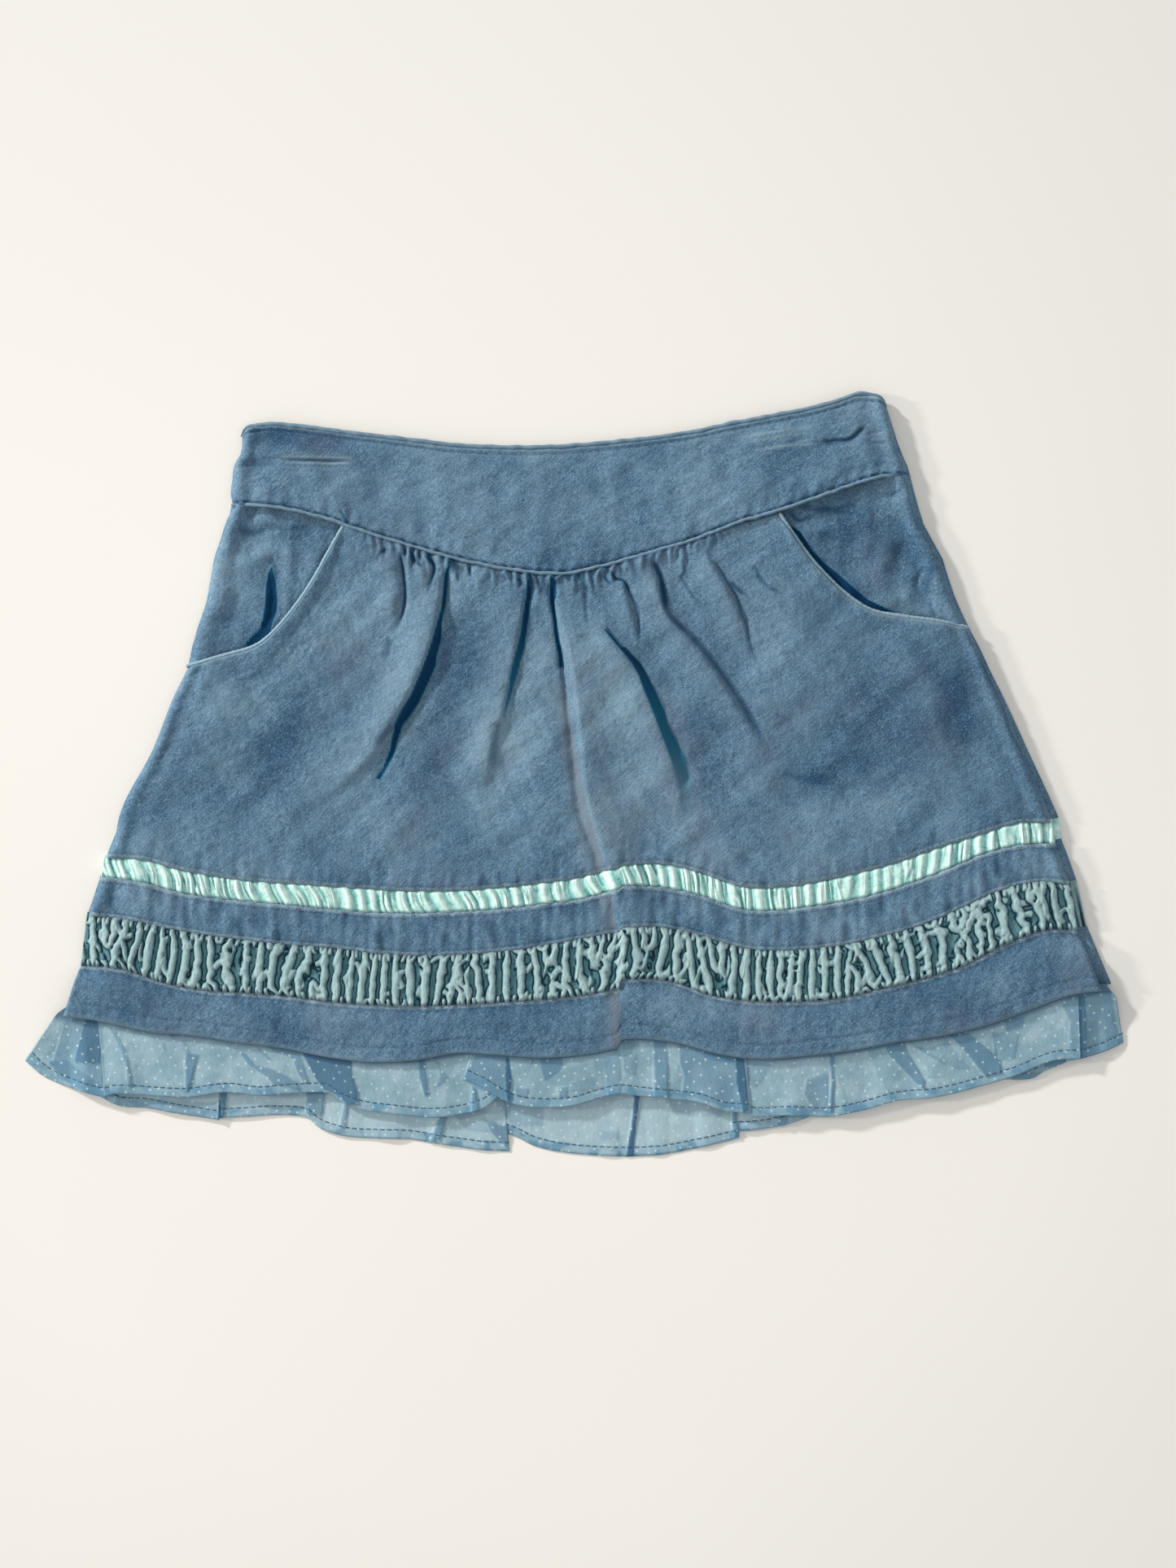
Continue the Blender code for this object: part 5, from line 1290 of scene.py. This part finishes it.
def make_hip(name, mouth, on_left):
    """A hip piece, from the yoke seam and the side down to just under the pocket mouth."""
    count = 141
    mouth_x, mouth_y = smooth_path(mouth, count).T
    reach = np.hypot(mouth_x - mouth_x[0], mouth_y - mouth_y[0])
    margin = HIP_MARGIN * smooth_step((reach - SIDE_ROLL) / SIDE_ROLL)
    inward = 1.0 if on_left else -1.0
    low_x = mouth_x + inward * margin * 0.6
    low_y = mouth_y - margin * 0.8
    side_x = LINES["yoke"].left if on_left else LINES["yoke"].right
    top_x = np.linspace(side_x, low_x[-1], count)
    top_y = height_above("yoke", top_x)
    columns = slice(None) if on_left else slice(None, None, -1)
    x, y = lines_between((top_x[columns], top_y[columns]), (low_x[columns], low_y[columns]),
                         np.linspace(0.0, 1.0, 97))[:2]
    u = np.linspace(0.0, 1.0, count)[columns]
    outer_side = u * np.hypot(top_x[0] - top_x[-1], top_y[0] - top_y[-1])
    from_left = outer_side if on_left else ONE_SIDE_WIDTH - outer_side
    x = follow_sides(x, y, from_left / ONE_SIDE_WIDTH, ONE_SIDE_WIDTH)
    under = np.full(x.shape, LAYERS["yoke"].side)
    share, across = path_distance(x, y, smooth_path(mouth, 40))
    beside = np.abs(across)
    creases = stroke_sum(x, y, HIP_CREASES, 0.2, 0.3)
    ease = smooth_step(outer_side / 8.0)
    waves = 0.32 * soft_waves(x, y, 51, 22.0) + 0.24 * soft_waves(x, y, 52, 10.0)
    relief = (np.maximum(creases, -0.8) + waves) * ease
    gap = np.exp(-(beside / 2.4) ** 2) * smooth_step(share / 0.2)
    top = velour_face(x, y, under, 53) + np.maximum(relief, -0.6) - 0.5 * gap + side_roll(outer_side)
    top = np.maximum(top, LOWEST_FACE)
    under = hang(top, under)
    # Painted shade in the creases, in the pocket gap and along the dark creases
    painted_shade = 0.5 * np.clip(-creases, 0.0, 1.0) + 0.45 * gap + stroke_sum(x, y, HIP_SHADES, 0.15, 0.3, 3.0)
    # Painted highlight on the creases' ridges, painted shade in the deep fold and the pocket gap, and broad
    # strokes of pile tone and painted shade
    marks = {"painted_shade": np.clip(painted_shade, 0.0, 1.0), "pale_and_highlight": 0.15 * np.clip(creases, 0.0, 1.0),
             "serged": 0.0, "nap_and_shade": stroke_sum(x, y, HIP_NAP_AND_SHADE, 0.3, 0.3),
             "wedge_shade": patch_shade(x, y, HIP_SHADE_WEDGES)}
    return cloth(name, x, y, top, under, marks, VELOUR_FINISH)


def strip_between(upper, lower, columns, rows, tuck=0.0):
    """A grid across the front between two seam lines that runs under its neighbours by tuck, with the
    distances from its edges, the ease towards the sides, and its underside with the folds."""
    u = np.linspace(0.0, 1.0, columns)
    high, low = front_line(upper, u), front_line(lower, u)
    high = high[0], high[1] + tuck
    low = low[0], low[1] - tuck
    x, y, v = lines_between(high, low, np.linspace(0.0, 1.0, rows))
    width = line_width(lower)
    ease = side_ease(u, width)
    under = front_underside(upper, lower, u, v, width) + stroke_sum(x, y, FOLDS) * ease
    return x, y, y[0] - y, y - y[-1], from_sides(u, width), ease, under


def ruched_base(upper, lower, columns, rows):
    """The grid, the underside and the distances from both seams of a ruched inset, which sinks where
    it runs under the velour edges that it is sewn to."""
    x, y, from_top, from_low, from_side, _, base = strip_between(upper, lower, columns, rows, INSET_TUCK)
    edge = np.minimum(from_top, from_low)
    under = np.maximum(base - 1.1 * (1.0 - smooth_step(edge / 2.4)), LOWEST_FRONT - 0.15)
    return x, y, under, edge - INSET_TUCK, from_side


def make_satin_ribbon():
    """The ruched ribbon: glossy gathers of uneven width that lean one way at the left and the other
    way at the right."""
    x, y, under, edge, side = ruched_base("satin_top", "satin_low", 1461, 25)
    lean = np.interp(x[0], (-180.0, -100.0, 0.0, 60.0, 120.0, 185.0), (4.0, 5.0, 4.0, 1.0, -1.5, -1.0))
    height, glint, beside = satin_folds(x, y, 61, lean)
    open_share = smooth_step((edge + 0.6) / 1.4)
    top = under + SATIN + (1.1 * height + 0.25 * glint - 0.25 * beside) * (0.4 + 0.6 * open_share)
    top = top - rounded(side, 0.4)
    # Painted highlight and shade by height, painted glints, and painted shade along the edges and beside the
    # glints
    marks = {"crest_shading": height, "glint": glint * open_share,
             "painted_shade": np.clip(0.4 * np.exp(-(edge / 0.6) ** 2) + 0.7 * beside * open_share, 0.0, 1.0)}
    return cloth("satin_front_cloth", x, y, top, under, marks, SATIN_FINISH, every=24)


def make_velvet_inset():
    """The ruched velvet, sunk a little along both seams."""
    x, y, under, edge, side = ruched_base("velvet_top", "velvet_low", 1321, 57)
    height, ground, cell = velvet_folds(x, y, y[0] - y - INSET_TUCK, y - y[-1] - INSET_TUCK, 71)
    open_share = smooth_step((edge + 0.8) / 2.0)
    relief = 1.7 * height + 0.6 * ground * cell
    top = under + VELVET + relief * (0.4 + 0.6 * open_share) - rounded(side, 0.5)
    # Painted highlight and shade by height, and painted shade along the seams
    marks = {"crest_shading": height, "ground": ground, "cell": cell,
             "painted_shade": 0.35 * np.exp(-(edge / 0.8) ** 2)}
    return cloth("velvet_front_cloth", x, y, top, under, marks, VELVET_FINISH, every=56)


def make_band():
    """The narrow velour band between the ribbon and the velvet, crinkled by the sewing."""
    x, y, from_top, from_low, from_side, ease, under = strip_between("satin_low", "velvet_top", 921, 25)
    crinkle = 0.24 * soft_waves(x, y * 0.25, 81, 6.0) + 0.15 * soft_waves(x, y, 83, 9.0)
    top = velour_face(x, y, under, 85) + crinkle * ease
    top = top - rounded(from_top, EDGE_ROUND) - rounded(from_low, EDGE_ROUND)
    lines = ditch(from_top, x) + ditch(from_low, x)
    top = np.maximum(top - 0.2 * lines + side_roll(from_side), LOWEST_FACE)
    under = hang(top, under)
    # Painted shade in the crinkles and along the stitched ditches
    painted_shade = 0.35 * np.clip(-crinkle / 0.35, 0.0, 1.0) + 0.4 * lines
    marks = {"painted_shade": painted_shade, "pale_and_highlight": 0.0, "nap_and_shade": 0.1 * soft_waves(x, y, 87, 30.0) - 0.03,
             "serged": np.maximum(serging(from_top), serging(from_low)),
             "grey_tint": lap_grey(x, y)}
    return cloth("band_front_cloth", x, y, top, under, marks, VELOUR_FINISH, every=24)


def make_hem_band():
    """The velour band at the hem, turned up and stitched 5.5 mm above its edge."""
    x, y, from_top, from_low, from_side, ease, under = strip_between("velvet_low", "hem", 801, 41)
    crinkle = 0.12 * soft_waves(x, y * 0.3, 91, 5.0) * np.exp(-(from_top / 5.0) ** 2)
    stitch = np.exp(-((from_low - 5.5) / 0.5) ** 2)
    top = velour_face(x, y, under, 93) + crinkle - 0.25 * stitch
    top = top + 0.2 * soft_waves(x, y, 95, 26.0) * ease
    top = top - rounded(from_top, EDGE_ROUND) - rounded(from_low, 1.0)
    top = np.maximum(top - rounded(from_side, 1.5), under + 0.3)
    # Painted shade along the stitch line, in the ditch and in the crinkles
    painted_shade = 0.30 * stitch * (0.6 + 0.4 * np.sin(x / 0.43)) + 0.45 * ditch(from_top, x)
    painted_shade = painted_shade + 0.25 * np.clip(-crinkle / 0.12, 0.0, 1.0)
    pale_and_highlight = 0.5 * np.exp(-(from_low / 1.1) ** 2)
    marks = {"painted_shade": np.clip(painted_shade, 0.0, 1.0), "pale_and_highlight": pale_and_highlight, "serged": serging(from_top),
             "nap_and_shade": -0.2 + 0.1 * soft_waves(x, y, 97, 30.0), "grey_tint": lap_grey(x, y)}
    return cloth("hem_band_front_cloth", x, y, top, under, marks, VELOUR_FINISH, every=20)


def flap_grid(flap, side, pleats, step):
    """The grid of one ruffle flap: from under the hem, down straight lines to its lower edge, with
    the pleats as low steps, and the heights of its underside."""
    foot = smooth_path(flap.foot, max(8, int((flap.foot[-1][0] - flap.foot[0][0]) / step)))
    u = np.linspace(0.0, 1.0, len(foot))
    hem_x = flap.start + (flap.end - flap.start) * u
    line = LINES["hem"]
    if side == "front":
        hem_y = height_above("hem", hem_x)
        start, end, length = 3.1, 2.3, 16.0
    else:
        share = np.clip((hem_x - line.left) / (line.right + line.strip - line.left), 0.0, 1.0)
        hem_y = back_line("hem", share)[1]
        start, end, length = 1.75, 0.05, 9.0
    top_y = hem_y + RUFFLE_TUCK
    if side == "front":
        top_y = top_y - 3.4 * smooth_step((hem_x - 196.0) / 4.0)
    inset = 3.0 * np.where(hem_x < line.left + 4.0, 1.0, np.where(hem_x > line.right - 4.0, -1.0, 0.0))
    rows = np.linspace(0.0, 1.0, RUFFLE_ROWS)[:, None]
    x = hem_x + inset * (1.0 - smooth_step(rows / 0.25)) + (foot[:, 0] - hem_x) * rows
    y = top_y + (foot[:, 1] - top_y) * rows
    past = smooth_step((hem_y - y) / length)
    if side == "front":
        end = end - 2.0 * (smooth_step((-186.0 - x) / 8.0) + smooth_step((x - 194.0) / 8.0))
    under = start + (end - start) * past + 0.32 * flap.level
    # Pleats where the voile lies in two layers, with painted shade in the darkest folds
    double_and_shade = patch_shade(x, y, pleats, 0.5)
    under = under + (0.55 * double_and_shade + 0.35 * soft_waves(x, y * 0.15, 101, 12.0)) * past
    under = np.maximum(under, 0.0)
    return x, y, under, double_and_shade, hem_y


def make_ruffle(name, side, flaps, pleats, pale=0.0):
    """A voile ruffle of several flaps in one object, each a closed wall, and the stitches of its hem.
    Its finish is made paler by the share pale."""
    points, blocks, stitches = [], {}, []
    marks = {"double_and_shade": [], "hem": [], "painted_shade": []}
    count = 0
    for flap in flaps:
        x, y, under, double_and_shade, hem_y = flap_grid(flap, side, pleats, 0.5)
        from_foot = y - y[-1]
        from_hem = hem_y - y
        top = under + VOILE + 0.03 * soft_waves(x, y, 103, 2.0)
        fold = 0.25 * np.exp(-((from_foot - RUFFLE_HEM) / 0.5) ** 2)
        top = top - 0.6 * fold
        grid, polygons, kept = wall_grid(x, y, top, under, 6)
        for block in polygons:
            blocks.setdefault(block.shape[1], []).append(block + count)
        count += len(grid)
        points.append(grid)
        hem_mark = smooth_step((RUFFLE_HEM - from_foot) / 0.4 + 0.5)
        # Painted shadow just below the hem band, and painted shade in the deepest pleats
        dark = 0.75 * np.exp(-(np.clip(from_hem, 0.0, None) / 1.6) ** 2)
        dark = np.clip(dark + 0.6 * smooth_step((double_and_shade - 0.9) / 0.1), 0.0, 1.0)
        for mark, values in (("double_and_shade", double_and_shade), ("hem", hem_mark), ("painted_shade", dark)):
            marks[mark].append(np.concatenate([values.ravel(), values[kept].ravel()]))
        stitches.append(hem_stitches(x, y, top, from_foot))
    polygons = [np.concatenate(group) for group in blocks.values()]
    marks = {mark: np.concatenate(values) for mark, values in marks.items()}
    marks["pale_and_highlight"] = np.full(count, pale)
    ruffle = mesh_object(name, np.concatenate(points), polygons, marks, VOILE_FINISH)
    return ruffle, np.concatenate(stitches)


def hem_stitches(x, y, top, from_foot):
    """The middles and headings of the stitches along a ruffle's hem, evenly spaced on its face."""
    share = (1.0 - RUFFLE_HEM / from_foot[0]) * (len(x) - 1)
    low = np.clip(share.astype(int), 0, len(x) - 2)
    part = share - low
    columns = np.arange(x.shape[1])
    line = np.stack([grid[low, columns] * (1.0 - part) + grid[low + 1, columns] * part
                     for grid in (x, y, top)], axis=1)
    reached = np.concatenate([[0.0], np.cumsum(np.linalg.norm(np.diff(line, axis=0), axis=1))])
    places = np.arange(0.5 * STITCH_PITCH, reached[-1], STITCH_PITCH)
    middle = np.stack([np.interp(places, reached, line[:, axis]) for axis in range(3)], axis=1)
    ahead = np.stack([np.interp(places + 0.4, reached, line[:, axis]) for axis in range(3)], axis=1)
    heading = ahead - middle + (1e-6, 0.0, 0.0)
    heading /= np.linalg.norm(heading, axis=1)[:, None]
    return np.concatenate([middle, heading], axis=1)


def stitch_row(name, table):
    """Short stitches: each a six-sided spindle along its heading, sunk by half into the cloth."""
    middle, heading = table[:, :3], table[:, 3:]
    side = np.cross(heading, (0.0, 0.0, 1.0))
    side /= np.linalg.norm(side, axis=1)[:, None]
    over = np.cross(side, heading)
    places = np.array([-0.5, -0.36, 0.36, 0.5]) * STITCH_LENGTH
    radii = np.array([0.35, 1.0, 1.0, 0.35]) * STITCH_RADIUS
    turn = np.linspace(0.0, 2.0 * np.pi, 6, endpoint=False)
    rings = (middle[:, None, None, :] + heading[:, None, None, :] * places[None, :, None, None]
             + radii[None, :, None, None] * (np.cos(turn)[None, None, :, None] * side[:, None, None, :]
             + np.sin(turn)[None, None, :, None] * over[:, None, None, :]))
    number = np.arange(len(middle) * 24).reshape(len(middle), 4, 6)
    after = np.roll(number, -1, axis=2)
    body = np.stack([number[:, :-1], after[:, :-1], after[:, 1:], number[:, 1:]], axis=3).reshape(-1, 4)
    caps = np.concatenate([number[:, 0, ::-1], number[:, 3]])
    return mesh_object(name, rings.reshape(-1, 3), [body, caps], {}, THREAD_FINISH)


def make_back_piece(name, lines, rows_each, columns, every, relief, finish):
    """A back piece on the floor, through two or more seam lines: its outer face is underneath, and
    its creases are hollows in that face."""
    u = np.linspace(0.0, 1.0, columns)
    xs, ys = [], []
    for index in range(len(lines) - 1):
        v = np.linspace(0.0, 1.0, rows_each + 1)[1 if index else 0:, None]
        high, low = lines[index](u), lines[index + 1](u)
        xs.append(high[0] + (low[0] - high[0]) * v)
        ys.append(high[1] + (low[1] - high[1]) * v)
    x, y = np.concatenate(xs), np.concatenate(ys)
    x = follow_sides(x, y, u, x[0, -1] - x[0, 0])
    hollows, marks = relief(x, y)
    inner = np.full(x.shape, BACK_TOP) - rounded(from_sides(u, x[0, -1] - x[0, 0]), 0.6)
    return cloth(name, x, y, hollows, inner, marks, finish, every)


def back_velour(seed):
    """A function that gives a velour back piece's hollows, from soft waves and the pressed creases,
    and its marks."""
    def relief(x, y):
        """The hollows and the marks at the points of a grid."""
        waves = soft_waves(x, y * 0.5, seed, 18.0)
        creases = stroke_sum(x, y, BACK_CREASES, 0.2, 0.4)
        hollows = 0.18 * np.clip(waves, 0.0, 2.0) + 0.05 * np.clip(soft_waves(x, y, seed + 1, 4.0), 0.0, 2.0)
        # Painted shade in the pressed creases and beside the swells
        shade = np.clip(0.25 * (waves - 0.8), 0.0, 0.5) + 1.1 * creases
        return np.minimum(hollows + creases, 0.9), {"painted_shade": shade, "pale_and_highlight": 0.0, "serged": 0.0, "nap_and_shade": 0.0}
    return relief


def back_satin(x, y):
    """The hollows between the gathers of the ribbon's back, pressed flat on their crests, and its marks."""
    height, glint, beside = satin_folds(x, y, 161, np.full(x.shape[1], 3.0))
    # Painted highlight and shade by height, painted glints and painted shade beside them
    return 0.7 * (1.0 - height), {"crest_shading": height, "glint": glint, "painted_shade": 0.4 * beside}


def back_velvet(x, y):
    """The hollows between the ridges of the velvet's back, pressed flat on their tops, and its marks."""
    height, ground, cell = velvet_folds(x, y, y[0] - y, y - y[-1], 171)
    # Painted highlight and shade by height and on the open ground
    return 0.75 * (VELVET_TALLEST - height), {"crest_shading": height, "ground": ground, "cell": cell, "painted_shade": 0.0}


def make_back():
    """The six pieces of the back, pressed flat by the floor."""
    def line(name):
        """A seam line of the back as a function of the share of its way."""
        return lambda u: back_line(name, u)

    def waist(u):
        """The back's waist line, a little below the front's."""
        x, y = back_line("waist", u)
        return x, y - BACK_WAIST_DROP

    def pocket(u):
        """A sagging line across the back between the outer ends of the pocket mouths."""
        (left_x, left_y), (right_x, right_y) = LEFT_MOUTH[0], RIGHT_MOUTH[0]
        x = left_x + BACK_INSET + (right_x - left_x) * u
        return x, left_y + (right_y - left_y) * u - 4.0 * BACK_POCKET_SAG * u * (1.0 - u)

    yoke, satin_top, satin_low, velvet_top, velvet_low, hem = map(line, list(LINES)[1:])
    velour, satin, velvet = VELOUR_FINISH, SATIN_FINISH, VELVET_FINISH
    # Node, lines, rows between two lines, columns, rows of the inner face, relief, finish and slot
    table = (
        ("yoke_back", (waist, yoke), 20, 131, 4, back_velour(201), velour, "velour"),
        ("panel_back", (yoke, pocket, satin_top), 36, 161, 4, back_velour(203), velour, "velour"),
        ("satin_back", (satin_top, satin_low), 8, 921, 8, back_satin, satin, "satin"),
        ("band_back", (satin_low, velvet_top), 8, 181, 4, back_velour(205), velour, "velour"),
        ("velvet_back", (velvet_top, velvet_low), 16, 781, 16, back_velvet, velvet, "velvet"),
        ("hem_band_back", (velvet_low, hem), 14, 181, 7, back_velour(207), velour, "velour"),
    )
    made = {}
    for node, lines, rows, columns, every, relief, finish, slot in table:
        piece = make_back_piece(f"{node}_cloth", lines, rows, columns, every, relief, finish)
        made[node] = settle(piece, node)
    return made


def make_pipings():
    """The rolled waist edge and the piping of the yoke seam and of both pocket mouths."""
    u = np.linspace(0.0, 1.0, 261)
    width = line_width("yoke")
    ease = side_ease(u, width)
    x, y = front_line("waist", u)
    z = layer_height("waist", ease) + 0.6
    wobble = 0.12 * soft_waves(x, y, 301, 9.0)
    path = np.stack([x, y + 0.55 + wobble, z], axis=1)
    taper = 0.35 + 0.65 * smooth_step(from_sides(u, width) / 4.0)
    radius = (0.9 + 0.08 * soft_waves(x, y, 302, 4.0)) * taper
    settle(tube("waist_piping_cord", path, radius), "waist_piping")
    x, y = front_line("yoke", u)
    z = layer_height("yoke", ease) + VELOUR + 0.2
    path = np.stack([x, y + 0.15 * soft_waves(x, y, 303, 8.0), z], axis=1)
    radius = 0.64 + 0.05 * np.sin(x * 4.2) + 0.07 * soft_waves(x, y, 304, 3.0)
    settle(tube("yoke_piping_cord", path, radius), "yoke_piping")
    for side, mouth, inward in (("left", LEFT_MOUTH, 1.0), ("right", RIGHT_MOUTH, -1.0)):
        path = smooth_path(mouth, 141)
        along = np.gradient(path, axis=0)
        along /= np.hypot(along[:, 0], along[:, 1])[:, None]
        outward = np.stack([-along[:, 1], along[:, 0]], axis=1) * inward
        path = path + outward * 0.55
        rise = smooth_step(np.linspace(0.0, 1.0, len(path)) / 0.12)
        height = LAYERS["yoke"].side + VELOUR + 0.2 + 1.3 * rise
        points = np.column_stack([path, height])
        radius = 0.84 + 0.06 * np.sin(np.arange(len(path)) * 2.1)
        radius = radius + 0.05 * soft_waves(path[:, 0], path[:, 1], 305, 3.0)
        piece = tube(f"pocket_piping_{side}_cord", points, radius, pale_and_highlight=0.55)
        settle(piece, f"pocket_piping_{side}")


def make_camera():
    """A camera straight above the skirt that takes in 602 mm from top to bottom."""
    data = bpy.data.cameras.new("camera")
    data.lens = 50.0
    data.sensor_fit = "VERTICAL"
    data.sensor_height = 36.0
    camera = bpy.data.objects.new("camera", data)
    camera.location = (0.0053, -0.00344, 0.8364)
    bpy.context.collection.objects.link(camera)
    bpy.context.scene.camera = camera


def add_lamp(name, place, size, power, colour):
    """A square soft lamp that faces the middle of the skirt."""
    data = bpy.data.lights.new(name, "AREA")
    data.size = size
    data.energy = power
    data.color = colour
    lamp = bpy.data.objects.new(name, data)
    lamp.location = place
    across, up, high = place
    lamp.rotation_euler = (np.arctan2(np.hypot(across, up), high), 0.0, np.arctan2(-up, -across) - np.pi / 2)
    bpy.context.collection.objects.link(lamp)


def make_studio():
    """The pale floor, an even sky and two soft lamps at the upper left."""
    mesh = bpy.data.meshes.new("floor")
    half = FLOOR_WIDTH / 2.0
    corners = [(-half, -half, 0.0), (half, -half, 0.0), (half, half, 0.0), (-half, half, 0.0)]
    mesh.from_pydata(corners, [], [(0, 1, 2, 3)])
    mesh.materials.append(make_floor_finish())
    floor = bpy.data.objects.new("floor", mesh)
    bpy.context.collection.objects.link(floor)
    world = bpy.data.worlds.new("sky")
    world.use_nodes = True
    background = world.node_tree.nodes["Background"]
    background.inputs["Color"].default_value = (0.965, 0.99, 1.0, 1.0)
    background.inputs["Strength"].default_value = 0.60
    bpy.context.scene.world = world
    add_lamp("key_lamp", (-3.20, 2.40, 1.24), 0.24, 178.0, (1.0, 0.985, 0.95))
    add_lamp("side_lamp", (-4.00, 0.40, 1.18), 0.28, 84.0, (1.0, 0.92, 0.80))
    bpy.context.scene.view_settings.view_transform = "Standard"


make_camera()
make_studio()

back = make_back()
yoke = settle(make_yoke(), "yoke_front")
hip_left = settle(make_hip("hip_left_cloth", LEFT_MOUTH, True), "hip_left")
hip_right = settle(make_hip("hip_right_cloth", RIGHT_MOUTH, False), "hip_right")
panel = settle(make_panel(), "panel_front")
satin = settle(make_satin_ribbon(), "satin_front")
band = settle(make_band(), "band_front")
velvet = settle(make_velvet_inset(), "velvet_front")
hem_band = settle(make_hem_band(), "hem_band_front")
ruffle_front, front_stitches = make_ruffle("ruffle_front_cloth", "front", FRONT_FLAPS, FRONT_PLEATS)
ruffle_back, back_stitches = make_ruffle("ruffle_back_cloth", "back", BACK_FLAPS, BACK_PLEATS, 0.4)
settle(ruffle_front, "ruffle_front")
settle(ruffle_back, "ruffle_back")
for side, table in (("front", front_stitches), ("back", back_stitches)):
    row = stitch_row(f"ruffle_{side}_stitches", table)
    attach(row, "root")
make_pipings()
